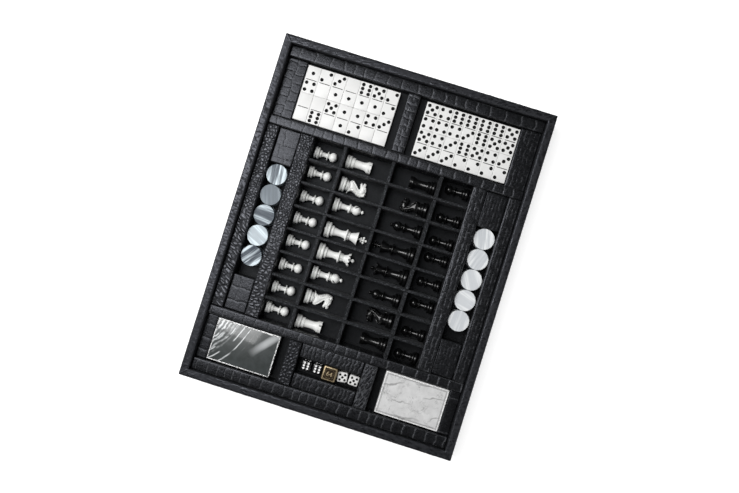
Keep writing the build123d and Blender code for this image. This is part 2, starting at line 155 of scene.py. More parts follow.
def beside(reach, distance):
    """Smooth share that falls from 1 on a line to 0 at a given reach from it."""
    return 1.0 - step(0.0, reach, distance)


def near(reach, distance):
    """Straight share that falls from 1 at a place to 0 at a given reach from it."""
    return max(0.0, 1.0 - distance / reach)


# ---- Embossed hide ---------------------------------------------------------------------------------
# A pattern gives three shares at a point: how far it is pressed in, how much of it is a crevice painted dark as
# shade, and how much of a pale line, part rubbed wear and part painted highlight. It knows the point by u along
# the piece's run and v across it.
CREASE = 0.9            # usual width of a crease
SLACK = 0.05            # how far even the smoothest hide lies in
GRAIN = 0.06
WRAP_RADIUS = 1.6       # of a wrapped edge
BLOCK_CROWN = 0.35      # how far the padding falls off to the sides of a block
WALL_CROWN = 0.5
CORNER_RADIUS = 2.4     # of the tray's four upright corners
MITRE_FOLD = 2.5        # reach of the flat folded hide beside a mitre
WALL_CELL = 0.9         # size of the mesh that carries the relief
BLOCK_CELL = 0.75
FINE_CELL = 0.6


def wander(u, v, seed, reach):
    """Slow drift that keeps creases from running dead straight."""
    return reach * noise.noise(Vector((u, v, seed)))


def lasting(u, v, seed, scale, low=-0.25):
    """Share of a pale line that is left as it comes and goes."""
    return step(low, 0.1, noise.noise(Vector((u * scale, v * scale, seed))))


def creased(mark, pillow, pale):
    """The three shares where creases part plates that are rounded down to them like pillows; the pale line is
    part wear, part painted highlight.
    """
    return max(mark * 0.8, pillow) + 0.2 * mark, 0.0, mark * pale


def net(size_u, size_v, turn, seed, crevice_shade=0.20, wear_and_highlight=0.0):
    """Irregular pebbles of about one size, longer one way and turned from the run of the piece."""
    cosine = cos(radians(turn))
    sine = sin(radians(turn))
    flank = 0.62

    def press(u, v):
        a = (cosine * u + sine * v) / size_u + seed
        b = (cosine * v - sine * u) / size_v - seed
        a += wander(b * 0.7, seed, seed, 0.35)
        distances, spots = noise.voronoi(Vector((a, b, seed)))
        gap = distances[1] - distances[0]
        fall = near(flank, gap)
        tall = 0.75 + 0.25 * sin(40.0 * spots[0].x + 23.0 * spots[0].y)
        # Painted shade: the crevice between pebbles is darkened in the colour.
        line = beside(crevice_shade, gap)
        # A share of the same crevice is painted pale, part rubbed wear and part painted highlight.
        return 1.0 - tall * (1.0 - fall * fall), line, wear_and_highlight * line

    return press


def plates(pitch, seed, split=0.0, width=CREASE, sway=1.6):
    """Belly plates right across a rail, parted by single creases, some plates split lengthwise."""

    def press(u, v):
        gap = pitch
        number = 0
        first = round(u / pitch)
        for i in range(first - 2, first + 3):
            place = pitch * (i + 0.28 * sin(7.1 * i + seed))
            distance = abs(u - place - wander(v * 0.16, place, seed, sway))
            if distance < gap:
                gap = distance
                number = place
        mark = beside(width, gap)
        pillow = 0.35 * beside(3.2, gap)
        if split and noise.noise(Vector((number * 0.37, seed, 2.0))) < split - 0.5:
            lane = abs(v - 4.0 * sin(number) - wander(u * 0.2, number, seed, 1.5))
            mark = max(mark, 0.8 * beside(width, lane))
            pillow = max(pillow, 0.3 * beside(2.6, lane))
        return creased(mark, pillow, 0.55 + 0.45 * lasting(u, v, seed, 0.33))

    return press


def bricks(pitch_u, pitch_v, seed, width=0.7, strength_u=1.0, whole=0.0):
    """Small rectangular scales in rows, their creases broken here and there."""

    def press(u, v):
        u += wander(u * 0.05, v * 0.12, seed, 2.2)
        v += wander(u * 0.09, v * 0.05, seed + 5.0, 1.5)
        row = round(v / pitch_v)
        shift = pitch_u * (0.5 * (row % 2) + 0.2 * sin(3.7 * row + seed))
        column = (u + shift) / pitch_u
        across = pitch_v * (0.5 - abs(v / pitch_v - row))
        along = pitch_u * abs(column - round(column))
        mark = max(beside(width, across), strength_u * beside(width, along))
        kept = step(-0.2, 0.15, noise.noise(Vector((u * 0.11, v * 0.4, seed))) + whole)
        # Pale crease line: part rubbed wear, part painted highlight.
        pale = kept * lasting(u, v, seed, 0.45, -0.3)
        pillow = 0.4 * beside(1.8, min(across, along)) * (0.3 + 0.7 * kept)
        return max(mark * 0.7 * kept, pillow) + 0.3 * mark * kept, 0.0, mark * pale

    return press


def panels(crossings, lanes, seed):
    """Broad smooth plates: creases across at set places, some beaded, and lengthwise ones between them."""

    def press(u, v):
        mark = 0.0
        gap = 9.0
        for place, beaded in crossings:
            distance = abs(u - place - wander(v * 0.14, place, seed, 1.8))
            beads = 0.45 + 0.55 * abs(sin(v * 1.5)) if beaded else 1.0
            mark = max(mark, beads * beside(CREASE, distance))
            gap = min(gap, distance)
        for place, start, end in lanes:
            if start < u < end:
                distance = abs(v - place - wander(u * 0.14, place, seed, 2.4))
                mark = max(mark, 0.8 * beside(CREASE, distance))
                gap = min(gap, distance)
        return creased(mark, 0.4 * beside(2.8, gap), 0.4 + 0.6 * lasting(u, v, seed, 0.3))

    return press


def fading(first, second, start, end):
    """One pattern that turns into another along the run."""

    def press(u, v):
        share = step(start, end, u + 6.0 * noise.noise(Vector((u, v, 3.0)) * 0.1))
        if share <= 0.0:
            return first(u, v)
        if share >= 1.0:
            return second(u, v)
        return tuple((1.0 - share) * a + share * b for a, b in zip(first(u, v), second(u, v)))

    return press


def by_side(left, right, share=1.0):
    """One pattern on pieces left of the tray's middle; another, pressed by a share of it, right of it."""

    def press(u, v):
        if v < 0.0:
            return left(u, v)
        pressed, dark, pale = right(u, v)
        return share * pressed, dark, pale

    return press


def emboss(bm, run, top_z, across_range, pattern, depth, crown, keep=lambda co: 1.0):
    """Press a hide's pattern into a block, crown its top, and note for the finish its crevices, to be painted
    dark as shade, and its pale lines of wear and painted highlight.
    """
    across = 1 - run
    low, high = across_range
    middle = (low + high) / 2
    half = (high - low) / 2
    crevice_shade = bm.verts.layers.float.new("crevice_shade")
    wear_and_highlight = bm.verts.layers.float.new("wear_and_highlight")
    bm.normal_update()
    moves = []
    for vert in bm.verts:
        normal = vert.normal
        if normal.z < -0.3:
            continue
        u = vert.co[run]
        v = vert.co[across]
        drop = top_z - vert.co.z
        if drop > WRAP_RADIUS:
            v += drop if v > middle else -drop
        pressed, dark, pale = pattern(u, v)
        grain = noise.noise(Vector((u, v, drop)) * 0.45)
        share = keep(vert.co)
        # Noted for the finish: painted crevice shade, and pale lines of wear and painted highlight.
        vert[crevice_shade] = dark * share
        vert[wear_and_highlight] = pale * share
        inward = (depth * pressed + SLACK + GRAIN * grain) * share
        sunk = 0.0
        if drop < WRAP_RADIUS + 0.1:
            sunk = crown * min(abs(vert.co[across] - middle) / half, 1.0) ** 3
        moves.append((vert, normal * -inward - Vector((0.0, 0.0, sunk))))
    for vert, move in moves:
        vert.co += move


def wrapped_block(x_span, y_span, z_span, pattern, run, depth, cell):
    """Wooden block wrapped in hide: rounded along the top, with the hide's creases pressed into it."""
    lows, highs = (Vector(corner) for corner in zip(x_span, y_span, z_span))
    bm = box(highs - lows, (highs + lows) / 2)
    top = [e for e in bm.edges if all(v.co.z > highs.z - 0.01 for v in e.verts)]
    round_edges(bm, top, WRAP_RADIUS, 3)
    divide(bm, 0, cell)
    divide(bm, 1, cell)
    divide(bm, 2, 4.0)
    bm.normal_update()
    bmesh.ops.dissolve_faces(bm, faces=[f for f in bm.faces if f.normal.z < -0.9])
    emboss(bm, run, highs.z, y_span if run == 0 else x_span, pattern, depth, BLOCK_CROWN)
    return bm


def mirrored(span):
    return (-span[1], -span[0])


# ---- Finishes ------------------------------------------------------------------------------------
WAVE_LENGTH = 0.314    # of the wave texture at a scale of 1


def grey(value, blue=0.0):
    return (value, value * (1.0 + 0.3 * blue), value * (1.0 + blue), 1.0)


def feed(tree, socket, source):
    """Set a socket from a number, a colour or another node's output."""
    if isinstance(source, bpy.types.NodeSocket):
        tree.links.new(source, socket)
    else:
        socket.default_value = source


def add_node(tree, kind, inputs, **settings):
    node = tree.nodes.new("ShaderNode" + kind)
    for setting, value in settings.items():
        setattr(node, setting, value)
    for socket, source in inputs.items():
        feed(tree, node.inputs[socket], source)
    return node.outputs


class Finish:
    """A material under construction: its shader, and the nodes that feed it. Sizes are in millimetres."""

    def __init__(self, name, **sockets):
        self.material = bpy.data.materials.new(name)
        self.material.use_nodes = True
        self.tree = self.material.node_tree
        self.shader = self.tree.nodes["Principled BSDF"]
        for socket, value in sockets.items():
            self.shader.inputs[socket.replace("_", " ")].default_value = value
        self.where = add_node(self.tree, "TexCoord", {})["Object"]

    def turned(self, scale=(1, 1, 1), turn=(0, 0, 0), source=None, shift=(0, 0, 0)):
        angles = [radians(a) for a in turn]
        inputs = {"Location": shift, "Scale": scale, "Rotation": angles, "Vector": source or self.where}
        return add_node(self.tree, "Mapping", inputs)["Vector"]

    def cloud(self, size, detail=3.0, rough=0.5, distortion=0.0, source=None):
        """Noise whose blotches are about size across."""
        inputs = {"Scale": 1.0 / (size * MM), "Detail": detail, "Roughness": rough, "Distortion": distortion}
        return add_node(self.tree, "TexNoise", inputs | {"Vector": source or self.where})["Fac"]

    def cells(self, size):
        """Distance to the edge of cells about size across."""
        inputs = {"Scale": 1.0 / (size * MM), "Vector": self.where}
        return add_node(self.tree, "TexVoronoi", inputs, feature="DISTANCE_TO_EDGE")["Distance"]

    def bands(self, size, distortion, detail=3.0, detail_scale=1.0, source=None, direction="X", kind="BANDS"):
        """Waves size apart, straight along a direction or in rings round the upright axis."""
        inputs = {"Scale": WAVE_LENGTH / (size * MM), "Distortion": distortion, "Detail": detail}
        inputs |= {"Detail Scale": detail_scale, "Vector": source or self.where}
        settings = {"wave_type": kind, "bands_direction": direction, "rings_direction": "Z"}
        return add_node(self.tree, "TexWave", inputs, **settings)["Fac"]

    def rings(self, source, size, distortion, detail=3.0, detail_scale=1.0):
        return self.bands(size, distortion, detail, detail_scale, source, kind="RINGS")

    def noted(self, name):
        """A value noted on the mesh, such as how deep its creases are."""
        return add_node(self.tree, "Attribute", {}, attribute_name=name)["Fac"]

    def spread(self, source, low, high, to_low=0.0, to_high=1.0):
        inputs = {"Value": source, "From Min": low, "From Max": high, "To Min": to_low, "To Max": to_high}
        return add_node(self.tree, "MapRange", inputs)["Result"]

    def combine(self, operation, first, second):
        return add_node(self.tree, "Math", {0: first, 1: second}, operation=operation)[0]

    def times(self, first, second):
        return self.combine("MULTIPLY", first, second)

    def mix(self, share, first, second):
        """Colour between first and second by share."""
        return add_node(self.tree, "Mix", {0: share, 6: first, 7: second}, data_type="RGBA")[2]

    def bump(self, source, height, strength):
        """Relief of a given height on top of what is modelled."""
        normal = self.shader.inputs["Normal"]
        inputs = {"Strength": strength, "Distance": height * MM, "Height": source}
        if normal.is_linked:
            inputs["Normal"] = normal.links[0].from_socket
        feed(self.tree, normal, add_node(self.tree, "Bump", inputs)["Normal"])

    def colour(self, source):
        feed(self.tree, self.shader.inputs["Base Color"], source)

    def roughness(self, source):
        feed(self.tree, self.shader.inputs["Roughness"], source)


def hide_finish(name, base, line, gloss, shine, tint=(0.87, 0.90, 1.0, 1.0)):
    """Black embossed hide: mottled, dull and painted dark as shade in its crevices, pale along its creases as
    rubbed wear and painted highlight, finely pored.
    """
    hide = Finish(name, Specular_IOR_Level=shine, Specular_Tint=tint)
    mottle = hide.spread(hide.cloud(9.0, 4.0, 0.6), 0.3, 0.7)
    skin = hide.mix(mottle, grey(base * 0.7, 0.15), grey(base * 1.4, 0.15))
    crevice_shade = hide.noted("crevice_shade")
    # Painted shade: crevices darkened to a fifth of the hide's tone.
    shaded = hide.mix(crevice_shade, skin, grey(base * 0.2))
    patchy = hide.spread(hide.cloud(2.0, 2.0), 0.3, 0.6, 0.35, 1.0)
    # Pale crease lines in the line tone: part rubbed wear, part painted highlight.
    hide.colour(hide.mix(hide.times(hide.noted("wear_and_highlight"), patchy), shaded, grey(line, 0.1)))
    smooth = hide.spread(hide.cloud(3.2, 4.0, 0.6), 0.32, 0.68, gloss - 0.07, gloss + 0.09)
    hide.roughness(hide.combine("ADD", smooth, hide.times(crevice_shade, 0.5)))
    hide.bump(hide.cells(0.9), 0.06, 0.6)
    hide.bump(hide.cloud(2.4, 4.0, 0.65), 0.18, 0.8)
    return hide.material


def suede_finish(name, base, shine, tint, patch, fluff_and_glint_tone):
    """Short-napped suede: nearly black, with brushed patches, a low sheen and pale specks of fluff, on the
    slats bright enough to be painted glints as well.
    """
    suede = Finish(name, Specular_IOR_Level=shine, Roughness=0.42, Sheen_Weight=0.10, Sheen_Roughness=0.6,
                   Sheen_Tint=(0.35, 0.36, 0.38, 1.0), Specular_Tint=(0.88, 0.93, 1.0, 1.0))
    nap = suede.spread(suede.cloud(9.0, 4.0, 0.7, 0.8), 0.35, 0.65)
    brushed = suede.mix(nap, grey(base / patch, tint), grey(base * patch, tint))
    fluff_and_glint = suede.spread(suede.cloud(1.6, 3.0, 0.7), 0.53, 0.68, 0.0, 0.8)
    suede.colour(suede.mix(fluff_and_glint, brushed, grey(base * fluff_and_glint_tone, tint)))
    suede.bump(suede.cloud(0.6, 2.0), 0.10, 0.8)
    return suede.material


def board_finish():
    """Grey board under the cover: pressed fibres."""
    board = Finish("pressed_board", Roughness=0.85, Specular_IOR_Level=0.3)
    fibres = board.cloud(1.4, 5.0, 0.65, source=board.turned(scale=(1, 4, 1)))
    board.colour(board.mix(fibres, (0.16, 0.13, 0.10, 1), (0.27, 0.23, 0.18, 1)))
    board.bump(fibres, 0.1, 0.5)
    return board.material


def clouded_finish(name, size, detail, low, tones, gloss_size, gloss, relief=(), **sockets):
    """Resin or paint: two near tones in soft clouds, a gloss that varies a little, and faint relief."""
    resin = Finish(name, **sockets)
    resin.colour(resin.mix(resin.spread(resin.cloud(size, detail), low, 1.0 - low), *tones))
    resin.roughness(resin.spread(resin.cloud(gloss_size), 0.3, 0.7, *gloss))
    if relief:
        resin.bump(resin.cloud(relief[0], 2.0), relief[1], 0.4)
    return resin.material


def inlay_finish(name, shade, gloss):
    """Paint in a drilled pip, an engraved line or a printed border."""
    tones = grey(shade * 0.8), grey(shade * 1.2)
    return clouded_finish(name, 1.2, 3.0, 0.3, tones, 0.8, (gloss, gloss + 0.1), Specular_IOR_Level=0.25)


def pearl_finish(name, dark, light):
    """Streaked pearl resin: the streaks follow each disc's own map, and their tone what is noted on it."""
    pearl = Finish(name, Specular_IOR_Level=0.13)
    mapped = add_node(pearl.tree, "UVMap", {}, uv_map="streaks")["UV"]
    along = pearl.turned(scale=(1.0, 0.07, 1.0), source=mapped)
    broad = pearl.cloud(6.5, 2.0, 0.5, 0.5, source=along)
    fine = pearl.cloud(1.5, 3.0, 0.6, 0.3, source=along)
    wide = pearl.spread(broad, 0.43, 0.58, 0.0, 0.76)
    streak = pearl.combine("ADD", wide, pearl.spread(fine, 0.38, 0.62, 0.0, 0.24))
    sharp = pearl.combine("POWER", streak, 1.7)
    share = pearl.combine("ADD", pearl.noted("shade"), pearl.times(sharp, pearl.noted("contrast")))
    pearl.colour(pearl.mix(share, dark, light))
    pearl.roughness(pearl.spread(broad, 0.3, 0.7, 0.26, 0.38))
    pearl.bump(fine, 0.015, 0.4)
    return pearl.material


def brass_finish():
    """Antique brass: bright on the raised work, browned in the hollows."""
    brass = Finish("antique_brass", Metallic=1.0, Specular_IOR_Level=0.5)
    patina = brass.spread(brass.cloud(2.2, 5.0, 0.65), 0.35, 0.65)
    worn = brass.mix(patina, (0.26, 0.20, 0.12, 1), (0.48, 0.39, 0.25, 1))
    hollow = brass.spread(brass.noted("hollow"), 0.0, 1.0)
    brass.colour(brass.mix(hollow, worn, (0.03, 0.022, 0.015, 1)))
    brass.roughness(brass.spread(brass.cloud(1.3, 4.0), 0.3, 0.7, 0.34, 0.55))
    brass.bump(brass.cloud(1.0, 4.0, 0.6), 0.08, 0.6)
    return brass.material


def marble_ground(name, ground, cloudy):
    """Printed card under clear film, and the cloudy ground that its marks are drawn on."""
    card = Finish(name, Specular_IOR_Level=0.5, Coat_Weight=0.5, Coat_Roughness=0.08)
    card.roughness(card.spread(card.cloud(8.0), 0.3, 0.7, 0.3, 0.4))
    return card, card.mix(card.spread(card.cloud(14.0, 6.0, 0.65, 0.6), 0.35, 0.7), ground, cloudy)


def dark_marble_finish():
    """Thin pale arcs sweeping about one side, close and bright near it, and one broad slanting streak."""
    card, ground = marble_ground("dark_card", (0.027, 0.032, 0.031, 1), (0.052, 0.060, 0.061, 1))
    side = card.turned(shift=(0.2388, 0.1384, 0.0))
    reach = card.rings(side, 300.0, 0.0)
    wide = card.spread(card.rings(side, 9.5, 4.5, 3.0, 0.5), 0.88, 0.99, 0.0, 0.9)
    kept = card.spread(card.cloud(21.0, 2.0), 0.44, 0.53)
    arcs = card.times(wide, card.times(kept, card.spread(reach, 0.895, 0.945, 1.0, 0.0)))
    close = card.spread(card.rings(side, 5.2, 7.0, 4.0, 0.8), 0.28, 0.88)
    strokes = card.times(close, card.spread(card.cloud(13.0, 4.0, 0.65), 0.38, 0.50, 0.15, 1.0))
    fan = card.times(strokes, card.spread(reach, 0.62, 0.80, 1.0, 0.0))
    slanting = card.turned(turn=(0, 0, 38), shift=(0.0452, 0.0, 0.0))
    streak = card.spread(card.bands(160.0, 0.4, 3.0, 6.0, slanting), 0.983, 0.999, 0.0, 0.62)
    far_corner = card.turned(shift=(0.0786, 0.1607, 0.0))
    taper = card.spread(card.rings(far_corner, 210.0, 0.0), 0.14, 0.50, 1.0, 0.0)
    marks = card.combine("MAXIMUM", card.combine("MAXIMUM", arcs, fan), card.times(streak, taper))
    card.colour(card.mix(marks, ground, (0.66, 0.68, 0.69, 1)))
    return card.material


def light_marble_finish():
    """Nearly white, with a few thin grey veins and patches of fine specks."""
    card, ground = marble_ground("light_card", grey(0.60), grey(0.75))
    flow = card.bands(38.0, 7.5, 5.0, 1.6, source=card.turned(scale=(1, 1.6, 1), turn=(0, 0, 64)))
    veins = card.spread(flow, 0.97, 1.0, 0.0, 0.7)
    patches = card.spread(card.cloud(24.0, 2.0), 0.44, 0.56)
    specks = card.spread(card.cloud(1.7, 3.0, 0.75), 0.46, 0.62, 0.0, 0.85)
    dusted = card.times(specks, card.spread(card.cloud(15.0, 5.0, 0.65, 0.8), 0.50, 0.64))
    marks = card.combine("MAXIMUM", card.times(veins, patches), dusted)
    card.colour(card.mix(marks, ground, grey(0.20)))
    return card.material


def film_highlight_finish(name, tone, hollow):
    """Crinkled edge of the clear film: painted highlight, near white on the crinkles where real film would
    catch and reflect the light, darker between them.
    """
    film = Finish(name, Specular_IOR_Level=0.6, Coat_Weight=0.6, Coat_Roughness=0.1)
    wrinkle = film.cloud(1.7, 3.0, 0.6)
    film.colour(film.mix(film.spread(wrinkle, 0.44, 0.52), grey(hollow), grey(tone)))
    film.roughness(film.spread(wrinkle, 0.3, 0.7, 0.15, 0.35))
    film.bump(wrinkle, 0.25, 0.8)
    return film.material


def card_stock_finish():
    """Edges of a stack of cards: pale sheets a third of a millimetre apart."""
    stock = Finish("card_stock", Roughness=0.6, Specular_IOR_Level=0.4)
    sheets = stock.bands(0.32, 0.0, direction="Z")
    stock.colour(stock.mix(sheets, (0.60, 0.58, 0.53, 1), (0.86, 0.85, 0.82, 1)))
    stock.bump(sheets, 0.05, 0.5)
    return stock.material


finishes = {
    "rim_leather": hide_finish("rim_leather", 0.0045, 0.030, 0.30, 0.44, (0.85, 0.88, 1.0, 1.0)),
    "pebbled_leather": hide_finish("pebbled_leather", 0.0048, 0.045, 0.29, 0.62),
    "rail_leather": hide_finish("rail_leather", 0.0048, 0.105, 0.28, 0.36),
    "pad_leather": hide_finish("pad_leather", 0.0043, 0.065, 0.29, 0.32),
    "suede": suede_finish("suede", 0.0046, 0.11, 0.10, 1.5, 3.0),
    # Pale specks on the slats, bright enough to stand in for glints as well as fluff.
    "slat_suede": suede_finish("slat_suede", 0.0055, 0.12, 0.15, 2.2, 19.0),
    "base_board": board_finish(),
    "white_resin": clouded_finish(
        "white_resin", 9.0, 2.0, 0.35, ((0.93, 0.94, 0.915, 1), (0.955, 0.96, 0.945, 1)), 3.0, (0.24, 0.32),
        Specular_IOR_Level=0.45,
    ),
    "black_resin": clouded_finish(
        "black_resin", 6.0, 3.0, 0.3, (grey(0.003), grey(0.007, 0.1)), 3.0, (0.16, 0.26), (1.1, 0.02),
        Specular_IOR_Level=0.45, Coat_Weight=0.15, Coat_Roughness=0.08,
    ),
    "ivory_resin": clouded_finish(
        "ivory_resin", 11.0, 4.0, 0.3, ((0.775, 0.775, 0.765, 1), (0.815, 0.815, 0.805, 1)), 2.0, (0.3, 0.42),
        (0.9, 0.012), Specular_IOR_Level=0.32,
    ),
    "dark_pearl": pearl_finish("dark_pearl", (0.045, 0.058, 0.078, 1), (0.76, 0.86, 0.92, 1)),
    "light_pearl": pearl_finish("light_pearl", (0.36, 0.39, 0.43, 1), (0.84, 0.86, 0.87, 1)),
    "antique_brass": brass_finish(),
    "black_pips": inlay_finish("black_pips", 0.003, 0.5),
    "white_pips": inlay_finish("white_pips", 0.88, 0.3),
    "dark_card": dark_marble_finish(),
    "light_card": light_marble_finish(),
    # Painted highlight: the film folds are painted near white where real clear film would reflect the light.
    "dark_film": film_highlight_finish("dark_film", 0.92, 0.08),
    "light_film": film_highlight_finish("light_film", 0.95, 0.55),
    "card_stock": card_stock_finish(),
    "border_line": inlay_finish("border_line", 0.12, 0.3),
}


# ---- Rim -----------------------------------------------------------------------------------------
def rounded_corner(co):
    """Draw a point near an outer upright corner of the tray in to a rounded one."""
    middle_x = HALF_WIDTH - CORNER_RADIUS
    middle_y = HALF_LENGTH - CORNER_RADIUS
    x = abs(co.x) - middle_x
    y = abs(co.y) - middle_y
    if x > 0.0 and y > 0.0:
        reach = max(x, y) / hypot(x, y)
        co.x = copysign(middle_x + x * reach, co.x)
        co.y = copysign(middle_y + y * reach, co.y)


def wrapped_wall(node, run, side, pattern, depth):
    """Side wall of the tray, mitred at both ends, with the rebate for the base under its inner edge."""
    across = 1 - run
    half_run, outer = (HALF_WIDTH, HALF_LENGTH) if run == 0 else (HALF_LENGTH, HALF_WIDTH)
    lip = WALL - REBATE
    section = [(0, 0), (lip, 0), (lip, PANEL_TOP), (WALL, PANEL_TOP), (WALL, RIM_Z), (0, RIM_Z)]
    bm = bmesh.new()
    corners = []
    for inset, z in section:
        co = Vector((0, 0, z))
        co[run] = -half_run
        co[across] = side * (outer - inset)
        corners.append(bm.verts.new(co))
    face = bm.faces.new(corners)
    pushed = bmesh.ops.extrude_face_region(bm, geom=[face])["geom"]
    travel = Vector((0, 0, 0))
    travel[run] = 2 * half_run
    bmesh.ops.translate(bm, vec=travel, verts=[g for g in pushed if isinstance(g, bmesh.types.BMVert)])
    bmesh.ops.recalc_face_normals(bm, faces=bm.faces)
    top = []
    for edge in bm.edges:
        along = abs(edge.verts[0].co[run] - edge.verts[1].co[run]) > half_run
        if along and all(v.co.z > RIM_Z - 0.01 for v in edge.verts):
            top.append(edge)
    round_edges(bm, top, WRAP_RADIUS, 4)
    divide(bm, run, WALL_CELL)
    divide(bm, across, WALL_CELL)
    divide(bm, 2, 1.6)
    for vert in bm.verts:
        inset = outer - side * vert.co[across]
        vert.co[run] *= (half_run - inset) / half_run
        rounded_corner(vert.co)

    def keep(co):
        """The hide lies flat where it is folded into the mitre."""
        room = half_run - (outer - side * co[across]) - abs(co[run])
        return step(0.0, MITRE_FOLD, room)

    across_range = sorted((side * outer, side * (outer - WALL)))
    emboss(bm, run, RIM_Z, across_range, pattern, depth, WALL_CROWN, keep)
    new_piece(node + "_hide", [bm], "tray", [finishes["rim_leather"]], [node])


def make_rim():
    wrapped_wall("left_wall", 1, -1, net(3.4, 11.0, 10.0, 1.3, wear_and_highlight=0.3), 0.2)
    wrapped_wall("right_wall", 1, 1, net(3.4, 8.0, -12.0, 2.7, wear_and_highlight=0.6), 0.3)
    wrapped_wall("head_wall", 0, 1, net(13.0, 4.4, 18.0, 4.1, wear_and_highlight=0.5), 0.35)
    wrapped_wall("foot_wall", 0, -1, net(15.0, 3.0, -8.0, 5.9, wear_and_highlight=0.4), 0.35)


# ---- Rails, posts and pads -------------------------------------------------------------------------
def make_rails():
    """The rails between the wells, their posts and the lower filler pads, each in its own cut of hide."""
    inside = (-HALF_INSIDE, HALF_INSIDE)
    lattice = (LATTICE_FOOT, LATTICE_HEAD)
    tall = (FLOOR_Z, RAIL_Z)
    low = (FLOOR_Z, PAD_Z)
    domino = (DOMINO_FOOT, DOMINO_HEAD)
    card = (CARD_FOOT, CARD_HEAD)

    def rail(
        node, spans, pattern, run, slot="rail_leather", cut=None, z_span=tall, depth=0.4, cell=BLOCK_CELL,
    ):
        blocks = [wrapped_block(x, y, z_span, pattern, run, depth, cell) for x, y in spans]
        new_piece(node + "_hide", blocks, "tray", [finishes[cut or slot]], [node])

    def pair(x_span):
        return [(x_span, card), (mirrored(x_span), card)]

    rail("head_rail", [(inside, (DOMINO_HEAD, INSIDE_END))], plates(18.8, 0.4, sway=2.0), 0)
    rail("upper_cross_rail", [(inside, (LATTICE_HEAD, DOMINO_FOOT))], plates(17.6, 1.9, split=0.25), 0)
    rail("lower_cross_rail", [(inside, (CARD_HEAD, LATTICE_FOOT))], plates(19.0, 3.1, split=0.2), 0)
    rail("foot_rail", [(inside, (-INSIDE_END, CARD_FOOT))], plates(14.0, 4.6, split=0.45), 0)

    outer = (OUTER_RAIL_X, HALF_INSIDE)
    inner = (LATTICE_X, CHECKER_X)
    fine = {"cut": "pebbled_leather", "depth": 1.1, "cell": FINE_CELL}
    outer_hide = fading(net(4.4, 11.0, 30.0, 7.7, 0.26), net(4.4, 5.2, 12.0, 8.2, 0.26), -20.0, 10.0)
    inner_hide = fading(net(4.6, 7.6, 15.0, 2.2, 0.26), net(4.0, 4.2, 0.0, 5.4, 0.26), -60.0, 0.0)
    rail("left_outer_rail", [(mirrored(outer), lattice)], outer_hide, 1, **fine)
    rail("left_inner_rail", [(mirrored(inner), lattice)], inner_hide, 1, **fine)
    scales = bricks(12.0, 6.5, 1.4, strength_u=0.9, whole=0.1)
    rail("right_inner_rail", [(inner, lattice)], scales, 1, depth=0.3)
    rail("right_outer_rail", [(outer, lattice)], bricks(9.0, 5.2, 6.1, 0.6, 0.4), 1, depth=0.24)

    post_x = (-DOMINO_POST_X, DOMINO_POST_X)
    rail("domino_post", [(post_x, domino)], plates(12.4, 2.4, split=0.5), 1)
    post_hide = by_side(net(5.4, 4.6, 10.0, 9.3), net(12.0, 3.8, 24.0, 4.3, 0.12, wear_and_highlight=0.8), 0.4)
    rail("dice_posts", pair((DICE_WELL_X, CARD_WELL_START)), post_hide, 1, depth=0.9, cell=FINE_CELL)

    pad = {"slot": "pad_leather", "z_span": low}
    block = (DOMINO_BLOCK_X, HALF_INSIDE)
    small_scales = bricks(7.0, 6.5, 2.6, strength_u=0.5, whole=0.15)
    rail("left_domino_block", [(mirrored(block), domino)], bricks(13.0, 15.0, 0.6, whole=0.3), 1, **pad)
    rail("right_domino_block", [(block, domino)], small_scales, 1, depth=0.32, **pad)

    well = (CHECKER_X, OUTER_RAIL_X)
    crossings = ((101.0, True), (82.0, False), (-112.0, False), (-131.0, True))
    upper_lanes = ((-158.0, 101.0, 125.0), (-161.0, 82.0, 101.0), (-150.0, 73.0, 82.0))
    lower_lanes = ((-157.0, -131.0, -94.0), (-148.0, -146.0, -131.0))
    for side, x_span, pattern, depth in (
        ("left", mirrored(well), panels(crossings, upper_lanes + lower_lanes, 3.3), 0.4),
        ("right", well, bricks(8.0, 4.8, 4.4, 0.6, 0.5), 0.24),
    ):
        spans = [(x_span, (CHECKER_HEAD, LATTICE_HEAD)), (x_span, (LATTICE_FOOT, CHECKER_FOOT))]
        rail(f"{side}_checker_blocks", spans, pattern, 1, depth=depth, **pad)

    card_hide = by_side(plates(21.0, 5.2), plates(52.0, 1.1))
    rail("card_blocks", pair((CARD_WELL_END, HALF_INSIDE)), card_hide, 1, depth=0.3, **pad)
    dice_x = (-DICE_WELL_X, DICE_WELL_X)
    dice_spans = [(dice_x, (DICE_HEAD, CARD_HEAD)), (dice_x, (CARD_FOOT, DICE_FOOT))]
    rail("dice_pads", dice_spans, plates(7.2, 6.3, sway=4.0, width=0.8), 0, **pad)


# ---- Dominoes and dice -----------------------------------------------------------------------------
def cube_of(size, radius, segments=3):
    """Cube or slab centred on the origin with every edge rounded."""
    bm = box(size)
    round_edges(bm, bm.edges[:], radius, segments)
    return bm


def for_cutting(bm, index):
    """Object made of a bmesh, all of its faces in one of two materials."""
    for face in bm.faces:
        face.material_index = index
    mesh = bpy.data.meshes.new("carving")
    bm.to_mesh(mesh)
    bm.free()
    mesh.materials.append(None)
    mesh.materials.append(None)
    item = bpy.data.objects.new("carving", mesh)
    bpy.context.scene.collection.objects.link(item)
    return item


